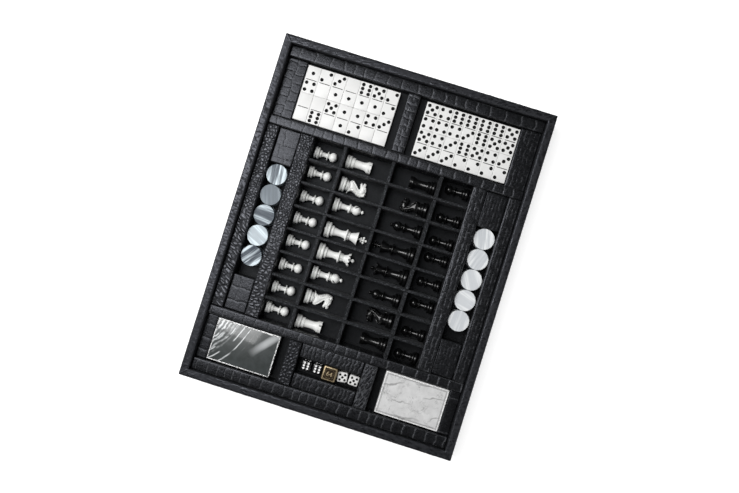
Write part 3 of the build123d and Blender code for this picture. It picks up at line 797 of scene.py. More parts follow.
def carved(bm, cutters):
    """Cut closed shapes out of a bmesh. The cut faces take the second material."""
    tools = bmesh.new()
    for cutter in cutters:
        absorb(tools, cutter)
    blank = for_cutting(bm, 0)
    tool = for_cutting(tools, 1)
    cut = blank.modifiers.new("cut", "BOOLEAN")
    cut.operation = "DIFFERENCE"
    cut.solver = "EXACT"
    cut.use_self = True
    cut.object = tool
    bpy.context.view_layer.update()
    evaluated = blank.evaluated_get(bpy.context.evaluated_depsgraph_get())
    mesh = bpy.data.meshes.new_from_object(evaluated)
    result = bmesh.new()
    result.from_mesh(mesh)
    for item in (blank, tool):
        old = item.data
        bpy.data.objects.remove(item)
        bpy.data.meshes.remove(old)
    bpy.data.meshes.remove(mesh)
    return result


def drill(place, radius, height):
    """Ball that cuts a shallow dish where it dips into a face; height is how far its middle stands off it."""
    bm = bmesh.new()
    bmesh.ops.create_uvsphere(bm, u_segments=16, v_segments=10, radius=radius)
    bmesh.ops.translate(bm, vec=place + Vector((0, 0, height)), verts=bm.verts)
    return bm


def pip_places(count, spread, spread_of_six):
    """Where the pips of one face or half tile lie."""
    across, along = spread_of_six if count == 6 else spread
    corner = [(-across, -along), (across, along)]
    other = [(-across, along), (across, -along)]
    layout = {
        0: [],
        1: [(0, 0)],
        2: corner,
        3: corner + [(0, 0)],
        4: corner + other,
        5: corner + other + [(0, 0)],
        6: corner + other + [(-across, 0), (across, 0)],
    }
    return layout[count]


# A drill is a ball's radius and how far its middle stands off the face. Spreads are how far pips lie off the
# middle, across and along, and the same for a six.
TILE = Vector((19.5, 40.0, 8.0))
TILE_EDGE = 0.55
TILE_LINE = (15.4, 1.0, 1.2)
TILE_HALF_Y = 10.0
TILE_DRILL = (2.9, 1.15)
TILE_SPREADS = ((5.5, 5.2), (5.0, 6.0))
TILE_SEAT = 32.0
TILE_PITCH = 19.7
TILE_ROWS_Y = (161.15, 201.35)
FIRST_TILE_X = (-157.8, 20.1)
# Pips of the upper and lower half of each tile, by row from the foot and from left to right
left_tiles = {
    1: [(1, 4), (2, 0), (3, 1), (0, 1), (6, 1), (5, 1), (2, 2)],
    0: [(0, 0), (0, 6), (5, 0), (1, 1), (1, 2), (4, 0), (3, 0)],
}
right_tiles = {
    1: [(5, 4), (4, 4), (6, 4), (6, 3), (6, 6), (6, 5), (5, 5)],
    0: [(5, 3), (4, 3), (3, 3), (6, 2), (5, 2), (4, 2), (3, 2)],
}


def domino(upper, lower):
    """Tile with drilled pips in both halves and an engraved line between them."""
    top = TILE.z / 2
    cutters = []
    for count, middle in ((upper, TILE_HALF_Y), (lower, -TILE_HALF_Y)):
        for x, y in pip_places(count, *TILE_SPREADS):
            cutters.append(drill(Vector((x, middle + y, top)), *TILE_DRILL))
    line = moved(cube_of(TILE_LINE, 0.2, 1), Matrix.Translation((0, 0, top)))
    return carved(cube_of(TILE, TILE_EDGE), cutters + [line])


def make_dominoes():
    for side, tiles, first_x in zip(("left", "right"), (left_tiles, right_tiles), FIRST_TILE_X):
        meshes = []
        for row, values in tiles.items():
            for column, (upper, lower) in enumerate(values):
                x = first_x + TILE.x / 2 + column * TILE_PITCH
                place = Matrix.Translation((x, TILE_ROWS_Y[row], TILE_SEAT + TILE.z / 2))
                tilt = 0.16 * sin(5.3 * column + 2.1 * row + len(side))
                meshes.append(moved(domino(upper, lower), place @ rotation(tilt, "Z")))
        node = f"{side}_dominoes"
        looks = [finishes["ivory_resin"], finishes["black_pips"]]
        new_piece(node + "_set", meshes, node, looks, [node])


DIE = 14.5
DIE_EDGE = 2.0
DIE_DRILL_LIFT = 0.55
DIE_SPREADS = ((3.6, 3.6), (2.9, 3.9))
DICE_SEAT = 19.5
DICE_Y = -190.35
face_turns = {
    "top": rotation(0, "X"),
    "bottom": rotation(180, "X"),
    "front": rotation(90, "X"),
    "back": rotation(-90, "X"),
    "left": rotation(-90, "Y"),
    "right": rotation(90, "Y"),
}


def die_cutters(values, radius):
    """Balls that drill the pips into each face of a die."""
    cutters = []
    for face, count in values.items():
        for x, y in pip_places(count, *DIE_SPREADS):
            cutter = drill(Vector((x, y, DIE / 2)), radius, DIE_DRILL_LIFT)
            cutters.append(moved(cutter, face_turns[face]))
    return cutters


def make_dice():
    sixes = {"top": 6, "bottom": 1, "front": 2, "back": 5, "left": 3, "right": 4}
    fives = {"top": 5, "bottom": 2, "front": 6, "back": 1, "left": 3, "right": 4}
    black = (sixes, 1.75, "black_resin", "white_pips")
    white = (fives, 1.9, "ivory_resin", "black_pips")
    for node, x, turn, (values, pip_radius, resin, pips) in (
        ("black_die_1", -33.25, 0.0, black),
        ("black_die_2", -16.4167, 0.0, black),
        ("white_die_1", 21.4167, 8.0, white),
        ("white_die_2", 38.25, -3.0, white),
    ):
        die = carved(cube_of((DIE, DIE, DIE), DIE_EDGE, 4), die_cutters(values, pip_radius))
        place = Matrix.Translation((x, DICE_Y, DICE_SEAT + DIE / 2)) @ rotation(turn, "Z")
        looks = [finishes[resin], finishes[pips]]
        new_piece(node + "_drilled", [moved(die, place)], node, looks, [node])


# ---- Turned work -----------------------------------------------------------------------------------
def contour(marks, steps=5):
    """Half outline through (radius, height) marks; a third number bows the way to that mark outwards."""
    points = [tuple(marks[0][:2])]
    for mark in marks[1:]:
        r0, z0 = points[-1]
        r1, z1 = mark[:2]
        bow = mark[2] if len(mark) > 2 else 0.0
        if bow:
            length = hypot(r1 - r0, z1 - z0)
            for i in range(1, steps):
                t = i / steps
                lift = 4 * bow * t * (1 - t) / length
                radius = r0 + (r1 - r0) * t + (z1 - z0) * lift
                points.append((max(radius, 0.0), z0 + (z1 - z0) * t - (r1 - r0) * lift))
        points.append((r1, z1))
    return points


def turned(points, segments=40):
    """Spin a half outline round the upright axis into a closed body."""
    bm = bmesh.new()
    chain = [bm.verts.new((r, 0, z)) for r, z in points]
    for first, second in zip(chain, chain[1:]):
        bm.edges.new((first, second))
    bmesh.ops.spin(
        bm, geom=bm.verts[:] + bm.edges[:], cent=(0, 0, 0), axis=(0, 0, 1), dvec=(0, 0, 0), angle=2 * pi,
        steps=segments, use_merge=True, use_duplicate=False,
    )
    bmesh.ops.remove_doubles(bm, verts=bm.verts, dist=0.002)
    bmesh.ops.recalc_face_normals(bm, faces=bm.faces)
    return bm


# ---- Checkers --------------------------------------------------------------------------------------
CHECKER_RADIUS = 15.0
CHECKER_THICKNESS = 8.0
CHECKER_EDGE = 0.7
CHECKER_DISH = 0.12
CHECKER_SEAT = 15.5
STACK_LEVELS = 3
STACK_X = 154.6
STACK_SLIP = 0.5
stack_y = (57.65, 27.35, -2.95, -33.25, -63.55)
# For each stack: how the top disc's streaks are turned, how light it is and how strongly it is streaked
dark_shades = ((4, 0.06, 1.20), (20, 0.165, 0.15), (86, 0.02, 0.78), (60, 0.58, 0.70), (-38, -0.01, 1.20))
light_shades = ((12, 0.46, 0.75), (-18, 0.48, 0.72), (30, 0.58, 0.50), (72, 0.60, 0.55), (-4, 0.50, 0.50))


def disc(height, turn, shade, contrast, number):
    """Checker with softened edges and a shallow dish, mapped so that its streaks run its own way."""
    flat = CHECKER_RADIUS - CHECKER_EDGE
    dished = height - CHECKER_DISH
    edge = [(0, 0), (flat, 0), (CHECKER_RADIUS, CHECKER_EDGE, 0.2), (CHECKER_RADIUS, height - CHECKER_EDGE)]
    top = [(flat, height, 0.2), (CHECKER_RADIUS - 1.6, dished), (0, dished)]
    bm = turned(contour(edge + top, 4), 56)
    mapped = bm.loops.layers.uv.new("streaks")
    shades = bm.verts.layers.float.new("shade")
    contrasts = bm.verts.layers.float.new("contrast")
    cosine = cos(radians(turn))
    sine = sin(radians(turn))
    for vert in bm.verts:
        vert[shades] = shade
        vert[contrasts] = contrast
    for face in bm.faces:
        for loop in face.loops:
            x, y, z = loop.vert.co
            u = (cosine * x + sine * y) * MM + 0.05 * number
            loop[mapped].uv = (u, (cosine * y - sine * x + z) * MM + 0.013 * number)
    return bm


def make_checkers():
    """Stacks of discs. The lower ones are a touch thinner and turned, and those at the left have slipped."""
    for tone, heading, shades in (("dark", -1, dark_shades), ("light", 1, light_shades)):
        meshes = []
        for stack, (turn, top_shade, contrast) in enumerate(shades):
            for level in range(STACK_LEVELS):
                below = STACK_LEVELS - 1 - level
                shade = shades[(stack + level + 1) % len(shades)][1] if below else top_shade
                twist = turn + 50 * level + 31 if below else turn
                height = CHECKER_THICKNESS - (SEAT_GAP if below else 0.0)
                slip = STACK_SLIP * below if heading < 0 else 0.0
                place = (heading * STACK_X + slip, stack_y[stack], CHECKER_SEAT + CHECKER_THICKNESS * level)
                checker = disc(height, twist, shade, contrast, stack * STACK_LEVELS + level)
                meshes.append(moved(checker, Matrix.Translation(place)))
        node = tone + "_checkers"
        pearl = tone + "_pearl"
        new_piece(node + "_discs", meshes, node, [finishes[pearl]], [node])


# ---- Chessmen --------------------------------------------------------------------------------------
# Each man is shaped upright on its base with its front along +X, then laid in its cell.
def foot_marks(base, ring, neck, top):
    """Moulded foot: plinth, broad bead and ring, parted by grooves, up to the neck above the ring's top."""
    rim = base / 2
    step_out = ring / 2
    low = 1.1 + 0.22 * rim
    high = 4.0 + 0.34 * rim
    plinth = [(0, 0), (rim - 0.4, 0), (rim, 0.4, 0.12), (rim, low - 0.5), (rim - 0.4, low - 0.1, 0.1)]
    bead = [(rim - 1.8, low), (rim - 1.8, low + 0.6), (rim - 1.0, low + 0.8), (rim - 1.0, high, 0.85)]
    groove = [(step_out - 0.8, high + 0.2), (step_out - 0.8, high + 0.8)]
    upper = [(step_out - 0.2, high + 1.0), (step_out - 0.2, top - 0.2, 0.3)]
    return plinth + bead + groove + upper + [
        (neck / 2 - 0.6, top), (neck / 2 - 0.6, top + 0.6), (neck / 2, top + 0.8),
    ]


def ball_marks(middle, radius, start, squash=1.0):
    """Turned ball from the angle, in degrees, at which it leaves its throat, up to the axis."""
    angles = [radians(start + (90 - start) * i / 12) for i in range(13)]
    return [(max(radius * cos(a), 0.0), middle + radius * squash * sin(a)) for a in angles]


def collar_marks(radius, middle, thickness, throat):
    """Thin turned collar with a rounded lip, dished down to the throat above it."""
    low = middle - thickness / 2
    high = middle + thickness / 2
    return [(radius - 0.5, low), (radius - 0.4, high, 0.45), (throat, high + thickness * 0.6, -0.25)]


def pawn():
    marks = foot_marks(17.6, 11.2, 7.8, 10.8) + [(3.1, 17.4, -0.1), (3.5, 18.7, -0.1)]
    marks += collar_marks(6.8, 19.7, 1.7, 3.6)
    return turned(contour(marks) + ball_marks(27.8, 7.0, -57, 0.88))


def rook():
    """Tower that flares to its parapet; the merlons are drawn up from the rim between the gaps."""
    floor = 34.2
    tower = [(5.8, 24.0, -0.15), (8.5, 32.6, -0.8), (8.7, 33.4, 0.1), (8.7, floor)]
    bowl = [(5.2, floor), (4.9, floor - 6.0), (0, floor - 6.4)]
    segments = 48
    bm = turned(contour(foot_marks(20.2, 15.6, 12.6, 12.6) + tower + bowl), segments)
    rim = []
    for face in bm.faces:
        middle = face.calc_center_median()
        flat = all(abs(v.co.z - floor) < 0.01 for v in face.verts)
        number = round((atan2(middle.y, middle.x) / (2 * pi)) * segments - 0.5) % 8
        if flat and number >= 2:
            rim.append(face)
    raised = bmesh.ops.extrude_face_region(bm, geom=rim)["geom"]
    bmesh.ops.delete(bm, geom=rim, context="FACES")
    lifted = [g for g in raised if isinstance(g, bmesh.types.BMVert)]
    bmesh.ops.translate(bm, vec=(0, 0, 37.8 - floor), verts=lifted)
    bmesh.ops.recalc_face_normals(bm, faces=bm.faces)
    return bm


def bishop():
    """Mitre with its slanting cut and a ball on top."""
    marks = foot_marks(20.8, 13.4, 9.6, 11.0) + [(3.9, 19.5, -0.2), (4.6, 23.2, -0.1)]
    marks += collar_marks(7.2, 24.6, 2.3, 4.2) + [(5.0, 27.3), (4.9, 28.5, 0.3), (4.2, 28.7)]
    mitre = [(4.6, 29.7), (7.0, 34.8, 0.7), (5.3, 39.4, 0.6), (1.5, 42.3, 0.3)]
    body = turned(contour(marks + mitre) + ball_marks(44.4, 2.9, -55, 0.7))
    blade = cube_of((14.0, 14.0, 1.4), 0.2, 1)
    return carved(body, [moved(blade, Matrix.Translation((7.0, 0.0, 37.8)) @ rotation(-55, "Y"))])


def royal_marks(base, height, rings):
    """Foot, long body, thick collar and the small rings above it that the king and the queen share."""
    marks = foot_marks(base, base * 0.67, 13.0, 12.8)
    marks += [(4.9, 23.0, -0.3), (5.9, height - 1.9, -0.2), (8.5, height - 1.2, -0.2)]
    marks += [(8.5, height + 1.1, 0.6), (5.6, height + 1.3), (5.0, height + 1.7)]
    for number in range(rings):
        low = height + 1.7 + 1.7 * number
        reach = 6.6 - 0.4 * number
        marks += [(reach, low + 0.2), (reach - 0.1, low + 1.2, 0.35), (4.9, low + 1.3), (4.9, low + 1.7)]
    return marks


def leafy_cross(middle, reach):
    """Cross of round leaves: a middle, two arms, a crown leaf and a low pair, on a stem."""
    leaves = [
        (0.0, 0.0, 2.0), (reach - 1.8, 0.0, 1.8), (1.8 - reach, 0.0, 1.8), (0.0, reach - 1.6, 1.8),
        (2.2, -3.6, 1.4), (-2.2, -3.6, 1.4),
    ]
    shapes = []
    for across, up, radius in leaves:
        leaf = bmesh.new()
        bmesh.ops.create_icosphere(leaf, subdivisions=3, radius=radius)
        bmesh.ops.translate(leaf, vec=(across, 0, middle + up), verts=leaf.verts)
        shapes.append(leaf)
    stem = bmesh.new()
    bmesh.ops.create_cone(stem, cap_ends=True, segments=16, radius1=1.5, radius2=0.9, depth=9.0)
    bmesh.ops.translate(stem, vec=(0, 0, middle - 3.0), verts=stem.verts)
    return shapes + [stem]


def king():
    """Flared crown with a leafy cross on its sunk cap."""
    crown = [
        (5.0, 37.6), (9.3, 48.2, -0.3), (9.7, 48.6), (9.6, 49.2, 0.1), (8.7, 49.2), (7.4, 47.6),
        (3.0, 48.6, 0.3), (1.5, 50.0, -0.2), (1.3, 51.6), (0, 51.8),
    ]
    body = turned(contour(royal_marks(24.0, 32.2, 2) + crown))
    for shape in leafy_cross(58.2, 5.4):
        absorb(body, shape)
    return body


def queen():
    """Spiked coronet, hollow within, with a ball on its cap."""
    teeth = 10
    coronet = [
        (5.2, 38.4), (8.5, 45.2, -0.9), (9.6, 46.9), (9.5, 48.0, 0.2), (8.3, 48.0), (7.3, 44.4), (5.4, 44.2),
        (2.0, 48.2, 0.6), (1.2, 49.4),
    ]
    body = turned(contour(royal_marks(25.0, 31.0, 3) + coronet) + ball_marks(52.0, 2.7, -62), 60)
    for vert in body.verts:
        radius = hypot(vert.co.x, vert.co.y)
        if vert.co.z > 45.2 and radius > 8.0:
            notch = 0.5 - 0.5 * cos(teeth * atan2(vert.co.y, vert.co.x))
            vert.co.z -= 2.8 * notch * step(45.2, 47.2, vert.co.z)
            vert.co.x *= 1.0 - 0.12 * notch
            vert.co.y *= 1.0 - 0.12 * notch
    return body


# Side view of the horse's head and neck, in (front, height), with a run of points from each mark to the next
HORSE = (
    (7.0, 12.8), (9.2, 14.6), (9.8, 17.4), (7.6, 20.8), (4.6, 23.8), (1.8, 26.4), (-0.2, 28.6), (1.6, 29.8),
    (4.6, 29.2), (7.8, 28.6), (10.0, 30.0), (9.8, 31.8), (7.8, 32.8), (10.2, 33.6), (10.8, 35.8), (8.6, 38.0),
    (5.6, 37.9), (3.4, 39.6), (-0.6, 40.2), (-3.4, 39.6), (-5.4, 41.5), (-6.6, 39.6), (-8.6, 39.8),
    (-10.6, 36.4), (-11.6, 31.8), (-10.2, 27.2), (-7.9, 22.6), (-6.8, 18.8), (-8.2, 15.2), (-11.2, 12.2),
    (-7.0, 12.2), (0.0, 12.2),
)
HORSE_RUN = 4
CHEST = range(1, 6)
MANE = range(20, 29)
# Brow, eye and nostril in (front, height), with the radius and the rise of each
HORSE_SPOTS = ((2.4, 37.2, 1.3, 1.0), (3.9, 35.6, 1.0, -1.2), (8.4, 35.6, 1.0, -1.4))


def horse_outline():
    """The side view as one smooth curve through its marks."""
    points = []
    for i in range(len(HORSE)):
        before, here, there, after = (Vector(HORSE[(i + k) % len(HORSE)]) for k in (-1, 0, 1, 2))
        for k in range(HORSE_RUN):
            t = k / HORSE_RUN
            square = (2 * before - 5 * here + 4 * there - after) * t * t
            cube = (3 * here - before - 3 * there + after) * t * t * t
            points.append(0.5 * (2 * here + (there - before) * t + square + cube))
    return points


def edge_distance(point, outline):
    """Distance from a point to a closed outline, the nearest point on it, and the mark before that."""
    best = (1e9, point, 0)
    for number, (first, second) in enumerate(zip(outline, outline[1:] + outline[:1])):
        run = second - first
        t = min(max((point - first).dot(run) / max(run.length_squared, 1e-9), 0.0), 1.0)
        nearest = first + run * t
        gap = (point - nearest).length
        if gap < best[0]:
            best = (gap, nearest, number // HORSE_RUN)
    return best


def inside(point, outline):
    """Whether a point lies in a closed outline, by how often a line from it crosses that."""
    hits = 0
    for first, second in zip(outline, outline[1:] + outline[:1]):
        if (first.y > point.y) != (second.y > point.y):
            cross = first.x + (point.y - first.y) * (second.x - first.x) / (second.y - first.y)
            hits += cross > point.x
    return hits % 2 == 1


def ridge(gap, width, height, groove, spread):
    """Raised strip along an edge, with a groove on its inner side."""
    return height * (1.0 - step(width - 0.3, width, gap)) - groove * near(spread, abs(gap - width - spread))


def swell(x, z, gap, mark):
    """Half thickness of the horse at a point of its side view that lies gap within the outline."""
    chest = mark in CHEST
    mane = mark in MANE
    full = 5.0 - 1.0 * step(20.0, 29.0, z) - 0.6 * step(4.0, 9.0, x) * step(26.0, 31.0, z)
    soft = 1.5 if chest or mane else 2.6
    rounded = sqrt(max(1.0 - (1.0 - min(gap / soft, 1.0)) ** 2, 0.0))
    cheek = hypot(x + 1.6, z - 34.0)
    relief = 1.2 * step(0.0, 6.0, gap) - 0.7 + 0.9 * (1.0 - step(2.9, 3.5, cheek))
    relief -= 1.3 * near(0.8, abs(cheek - 4.0)) * step(-9.0, -6.0, x)
    for spot_x, spot_z, radius, rise in HORSE_SPOTS:
        relief += rise * near(radius, hypot(x - spot_x, z - spot_z))
    mouth = abs(z - 32.8 + 0.1 * (x - 7.0))
    relief -= 1.4 * near(0.8, mouth) * step(4.2, 5.6, x)
    if mane:
        locks = 0.5 * sin(2.2 * (z + 0.4 * x)) * (1.0 - step(2.2, 2.6, gap))
        relief += ridge(gap, 2.6, 0.9, 2.0, 0.8) + locks
    if chest:
        deep = 2.4 * (1.0 - step(14.0, 28.0, z))
        relief += ridge(gap, 1.5, 0.7, 0.6 + deep, 0.9)
    return max((full + relief) * rounded, 0.0)


def knight():
    """Carved horse on a turned foot. Its two cheeks are one sheet, swollen and mirrored about the middle."""
    outline = horse_outline()
    half_cells = (23, 31)
    cell = 0.5
    bm = bmesh.new()
    bmesh.ops.create_grid(bm, x_segments=2 * half_cells[0], y_segments=2 * half_cells[1], size=1.0)
    bmesh.ops.scale(bm, vec=(half_cells[0] * cell, half_cells[1] * cell, 1), verts=bm.verts)
    bmesh.ops.translate(bm, vec=(-0.8, 27.0, 0), verts=bm.verts)
    out = [v for v in bm.verts if not inside(v.co.xy, outline)]
    bmesh.ops.delete(bm, geom=out, context="VERTS")
    loose = [v for v in bm.verts if not v.link_faces]
    bmesh.ops.delete(bm, geom=loose, context="VERTS")
    for vert in bm.verts:
        if vert.is_boundary:
            vert.co.x, vert.co.y = edge_distance(vert.co.xy, outline)[1]
    inner = [v for v in bm.verts if not v.is_boundary]
    bmesh.ops.smooth_vert(bm, verts=inner, factor=0.4, use_axis_x=True, use_axis_y=True, use_axis_z=False)
    for vert in bm.verts:
        x, z = vert.co.xy
        gap, _, mark = edge_distance(vert.co.xy, outline)
        vert.co = (x, 0.0 if vert.is_boundary else max(swell(x, z, gap, mark), 0.05), z)
    bmesh.ops.mirror(bm, geom=bm.verts[:] + bm.edges[:] + bm.faces[:], axis="Y", merge_dist=0.001)
    bmesh.ops.remove_doubles(bm, verts=bm.verts, dist=0.001)
    bmesh.ops.recalc_face_normals(bm, faces=bm.faces)
    foot = turned(contour(foot_marks(22.0, 15.8, 13.2, 11.4) + [(6.4, 13.6, 0.2), (0, 14.4)]))
    absorb(foot, bm)
    return foot


# For each kind: how to shape it, its base, and the width and height of the part of its head that it lies on
kinds = {
    "king": (king, 24.0, 19.0, 51.1),
    "queen": (queen, 25.0, 20.0, 49.6),
    "bishop": (bishop, 20.8, 14.0, 34.54),
    "knight": (knight, 22.0, 9.5, 41.5),
    "rook": (rook, 20.2, 17.4, 39.0),
    "pawn": (pawn, 17.6, 13.2, 27.9),
}
back_rank = ["rook", "knight", "bishop", "king", "queen", "bishop", "knight", "rook"]
ROW_CELL = 30.25
ROW_PITCH = 34.25
FIRST_ROW_Y = 109.425
# How far each man lies off the middle of its cell, as a share of its room there: back rank, then pawns
drifts = {
    "white": (
        (-0.2, -0.1, 0.6, -0.6, -0.2, 0.3, 0.0, -0.9),
        (-0.3, 0.5, 0.0, 0.2, 0.15, -0.15, -0.2, 0.3),
    ),
    "black": (
        (-0.4, -0.4, -0.15, -0.6, -0.5, -0.5, 0.2, -0.1),
        (0.6, -0.75, -0.85, 0.6, 0.2, 0.4, -0.95, -0.95),
    ),
}
patterns = {}


def laid(kind, heading, facing, base_x, row, drift):
    """One man laid on its side in its cell, touching the floor with its foot and its head."""
    shape, base, head, head_z = kinds[kind]
    if kind not in patterns:
        patterns[kind] = shape()
    lean = atan2((base - head) / 2, head_z)
    room = (ROW_CELL - base) / 2 - 2 * SEAT_GAP
    front = Vector((0, facing, 0))
    axis = Vector((heading * cos(lean), 0, -sin(lean)))
    turn = Matrix((front, axis.cross(front), axis)).transposed().to_4x4()
    x = base_x + heading * (BASE_GAP + base / 2 * sin(lean))
    y = FIRST_ROW_Y - row * ROW_PITCH + drift * room
    place = Matrix.Translation((x, y, FLOOR_Z + SEAT_GAP + base / 2 * cos(lean)))
    return moved(patterns[kind].copy(), place @ turn)


def make_chessmen():
    for colour, heading in (("white", 1), ("black", -1)):
        men = {}
        back_drift, pawn_drift = drifts[colour]
        for row, kind in enumerate(back_rank):
            facing = 1 if row < 4 else -1
            man = laid(kind, heading, facing, -heading * MAJOR_CELL_X, row, back_drift[row])
            men.setdefault(kind, []).append(man)
            man = laid("pawn", heading, 1, -heading * LATTICE_X, row, pawn_drift[row])
            men.setdefault("pawn", []).append(man)
        resin = colour + "_resin"
        for kind, meshes in men.items():
            node = f"{colour}_{kind}" if len(meshes) == 1 else f"{colour}_{kind}s"
            new_piece(node + "_turned", meshes, node, [finishes[resin]], [node], 50.0)


# ---- Decks and the doubling cube ---------------------------------------------------------------------
DECK = Vector((93.0, 61.0, 18.0))
DECK_EDGE = 0.7
DECK_PLACE = Vector((125.1, -191.2, 31.5))
# Bands of the light deck's border from the outside in: width, and whether it is printed
BORDER = ((2.4, False), (0.7, True), (0.9, False), (0.5, True), (0.5, False))
CARD, FILM, PRINT = range(3)    # the places of the deck's three finishes
# Folds of film on top of each deck: length, width, place and turn
FOLDS = (
    (91.0, 2.0, 0.0, 29.1, 0),
    (91.0, 1.3, 0.0, -29.5, 180),
    (58.0, 1.1, -45.6, 0.0, 90),
    (58.0, 1.7, 45.4, 0.0, -90),
)
FOLD_HEIGHT = 0.5
FOLD_SUNK = 0.05


def film_fold(length, width):
    """Low rolled fold of film along an edge of a deck, thinning to nothing at its ends."""
    bm = box((length, width, FOLD_HEIGHT))
    divide(bm, 0, 1.5)
    divide(bm, 1, width / 3)
    for vert in bm.verts:
        end = 1.0 - abs(vert.co.x) / (length / 2)
        vert.co.y *= 0.35 + 0.65 * step(0.0, 0.12, end) + 0.15 * noise.noise(vert.co * 0.3)
        if vert.co.z > 0:
            vert.co.z *= (1.0 - (2 * vert.co.y / width) ** 2 * 0.7) * (1.0 + 0.4 * noise.noise(vert.co * 0.5))
    for face in bm.faces:
        face.material_index = FILM
    return bm


def make_decks():
    """Two card decks in tuck cases, each shrunk in clear film; the light one has a double border."""
    for tone, heading in (("dark", -1), ("light", 1)):
        case = cube_of(DECK, DECK_EDGE)
        if tone == "light":
            lid = max(case.faces, key=lambda f: f.calc_center_median().z * 100 + f.calc_area())
            for width, printed in BORDER:
                for face in bmesh.ops.inset_region(case, faces=[lid], thickness=width, depth=0.0)["faces"]:
                    face.material_index = PRINT if printed else CARD
        whole = [case]
        for length, width, x, y, turn in FOLDS:
            spot = Matrix.Translation((x, y, DECK.z / 2 - FOLD_SUNK)) @ rotation(turn, "Z")
            whole.append(moved(film_fold(length, width), spot))
        place = Matrix.Translation((heading * DECK_PLACE.x, DECK_PLACE.y, DECK_PLACE.z))
        whole = [moved(bm, place) for bm in whole]
        card = tone + "_card"
        node = tone + "_deck_tuck_case"
        looks = [finishes[card], finishes[tone + "_film"], finishes["border_line"]]
        new_piece(node + "_wrapped", whole, tone + "_deck", looks, [node])


CUBE = 21.0
CUBE_X = 2.5
CUBE_EDGE = 2.2
CUBE_BORDER = 0.5
CUBE_SUNK = 0.9
FIGURE_HEIGHT = 6.6
FIGURE_THICKNESS = 0.9
FIGURE_SUNK = 0.7       # how far the middle of a numeral's thickness lies under the cube's face
BEADS = 20
BEAD_RADIUS = 0.75
BEAD_REACH = 6.3


def numeral(text):
    """Raised numeral centred on the origin, facing up."""
    curve = bpy.data.curves.new("numeral", "FONT")
    curve.body = text
    curve.size = FIGURE_HEIGHT * 1.35
    curve.extrude = FIGURE_THICKNESS / 2
    curve.bevel_depth = 0.12
    curve.resolution_u = 3
    curve.align_x = "CENTER"
    letter = bpy.data.objects.new("numeral", curve)
    bpy.context.scene.collection.objects.link(letter)
    bpy.context.view_layer.update()
    mesh = bpy.data.meshes.new_from_object(letter.evaluated_get(bpy.context.evaluated_depsgraph_get()))
    bm = bmesh.new()
    bm.from_mesh(mesh)
    bpy.data.objects.remove(letter)
    bpy.data.curves.remove(curve)
    bpy.data.meshes.remove(mesh)
    lows = [min(v.co[i] for v in bm.verts) for i in range(2)]
    highs = [max(v.co[i] for v in bm.verts) for i in range(2)]
    bmesh.ops.translate(bm, vec=(-(lows[0] + highs[0]) / 2, -(lows[1] + highs[1]) / 2, 0), verts=bm.verts)
    return bm


def make_doubling_cube():
    """Brass cube: sunk panels inside a raised border, beads round each panel and a numeral on each face."""
    bm = cube_of((CUBE, CUBE, CUBE), CUBE_EDGE, 4)
    for depth in (0.0, -CUBE_SUNK):
        flats = [f for f in bm.faces if f.calc_area() > 100]
        bmesh.ops.inset_individual(bm, faces=flats, thickness=CUBE_BORDER, depth=depth)
    meshes = [bm]
    values = {"top": "64", "bottom": "2", "front": "4", "back": "8", "left": "16", "right": "32"}
    for face, value in values.items():
        turn = face_turns[face]
        meshes.append(moved(numeral(value), turn @ Matrix.Translation((0, 0, CUBE / 2 - FIGURE_SUNK))))
        for i in range(BEADS):
            angle = 2 * pi * i / BEADS
            reach = BEAD_REACH / max(abs(cos(angle)), abs(sin(angle))) ** 0.7
            bead = bmesh.new()
            bmesh.ops.create_icosphere(bead, subdivisions=1, radius=BEAD_RADIUS)
            spot = (reach * cos(angle), reach * sin(angle), CUBE / 2 - CUBE_SUNK)
            meshes.append(moved(bead, turn @ Matrix.Translation(spot)))
    place = Matrix.Translation((CUBE_X, DICE_Y, DICE_SEAT + CUBE / 2))
    for bm in meshes:    # note where the brass lies deep enough to stay brown
        hollow = bm.verts.layers.float.new("hollow")
        for vert in bm.verts:
            sunk = CUBE / 2 - max(abs(c) for c in vert.co)
            vert[hollow] = step(0.35, 0.85, sunk) if sunk < 1.2 else 0.0
        moved(bm, place)
    node = "doubling_cube"
    new_piece(node + "_cast", meshes, node, [finishes["antique_brass"]], [node])


# ---- Camera, lamps and floor, in metres --------------------------------------------------------------
CAMERA_PLACE = (0.02365, -0.01028, 0.954)
CAMERA_TURN = (0.966, 1.083, 17.438)
CAMERA_LENS = 31.359
HORIZON_RISE = 0.10         # the world is white up to here, as the upward part of a direction
OVERHEAD_RISE = 0.55        # and dim from here up
OVERHEAD_STRENGTH = 0.09
FLOOR_TONE = 0.62
FLOOR_GLOW = 0.72           # what the camera and reflections see on top of the lit floor


def make_camera():
    data = bpy.data.cameras.new("camera")
    data.lens = CAMERA_LENS
    data.sensor_width = 36.0
    camera = bpy.data.objects.new("camera", data)
    camera.location = CAMERA_PLACE
    camera.rotation_euler = [radians(a) for a in CAMERA_TURN]
    bpy.context.scene.collection.objects.link(camera)
    bpy.context.scene.camera = camera


def lamp(name, place, target, size, power):
    data = bpy.data.lights.new(name, "AREA")
    data.shape = "RECTANGLE"
    data.size, data.size_y = size
    data.energy = power
    light = bpy.data.objects.new(name, data)
    light.location = place
    light.rotation_euler = (Vector(target) - Vector(place)).to_track_quat("-Z", "Y").to_euler()
    bpy.context.scene.collection.objects.link(light)


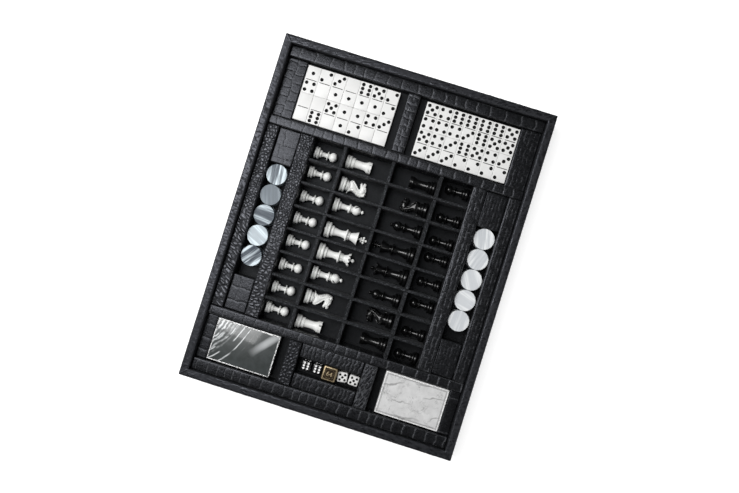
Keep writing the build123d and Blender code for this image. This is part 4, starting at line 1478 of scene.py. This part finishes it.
def make_studio():
    """Pale floor, a studio that is white at the horizon and dim overhead, and soft lamps round the camera."""
    scene = bpy.context.scene
    scene.view_settings.view_transform = "Standard"
    world = bpy.data.worlds.new("studio")
    world.use_nodes = True
    scene.world = world
    tree = world.node_tree
    background = tree.nodes["Background"].inputs
    background["Color"].default_value = (1, 1, 1, 1)
    way = add_node(tree, "TexCoord", {})["Generated"]
    rise = add_node(tree, "SeparateXYZ", {0: way})["Z"]
    fall = {"Value": rise, "From Min": HORIZON_RISE, "From Max": OVERHEAD_RISE}
    fall |= {"To Min": 1.0, "To Max": OVERHEAD_STRENGTH}
    feed(tree, background["Strength"], add_node(tree, "MapRange", fall)["Result"])

    bm = bmesh.new()
    bmesh.ops.create_grid(bm, x_segments=8, y_segments=8, size=6.0)
    mesh = bpy.data.meshes.new("floor")
    bm.to_mesh(mesh)
    bm.free()
    floor = bpy.data.objects.new("floor", mesh)
    scene.collection.objects.link(floor)
    mesh.materials.append(floor_finish())

    lamp("window_lamp", (-0.77, 0.19, 1.52), (-0.02, 0.0, 0.0), (0.85, 1.45), 30.0)
    lamp("fill_lamp", (1.15, -0.80, 1.15), (0.0, 0.0, 0.0), (0.8, 0.8), 3.0)


def floor_finish():
    """Floor that reads as white to the eye and in reflections, and still takes the tray's shadow."""
    material = bpy.data.materials.new("pale_floor")
    material.use_nodes = True
    tree = material.node_tree
    tree.nodes.clear()
    paint = add_node(tree, "BsdfDiffuse", {"Color": grey(FLOOR_TONE)})
    path = add_node(tree, "LightPath", {})
    seen = add_node(tree, "Math", {0: path["Is Camera Ray"], 1: path["Is Glossy Ray"]}, operation="MAXIMUM")
    through = add_node(tree, "Math", {0: seen[0], 1: path["Is Transmission Ray"]}, operation="MAXIMUM")
    share = add_node(tree, "Math", {0: through[0], 1: FLOOR_GLOW}, operation="MULTIPLY")
    glow = add_node(tree, "Emission", {"Strength": share[0]})
    both = add_node(tree, "AddShader", {0: paint[0], 1: glow[0]})
    add_node(tree, "OutputMaterial", {"Surface": both[0]})
    return material


# ---- Finishes on the tray's own nodes ----------------------------------------------------------------
def paint_nodes():
    """Give every node of the tray and its contents a finish of its own."""
    lined = ("base_cover", "floor_lining", "domino_plinths", "checker_plinths", "card_plinths", "dice_plinth")
    slots = dict.fromkeys(lined, "suede")
    slots |= dict.fromkeys(("long_slats", "cross_slats"), "slat_suede")
    slots |= dict.fromkeys(("dark_deck_cards", "light_deck_cards"), "card_stock")
    slots |= {
        "base_panel": "base_board",
        "dark_deck_tuck_case": "dark_card",
        "light_deck_tuck_case": "light_card",
        "doubling_cube": "antique_brass",
    }
    for name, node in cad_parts.items():
        white_man = name.startswith("white_") and not name.startswith("white_die")
        slot = slots.get(name, "white_resin" if white_man else "black_resin")
        node.data.materials.clear()
        node.data.materials.append(finishes[slot])


make_camera()
make_studio()
paint_nodes()
make_rim()
make_rails()
make_dominoes()
make_dice()
make_checkers()
make_chessmen()
make_decks()
make_doubling_cube()

bpy.context.view_layer.update()
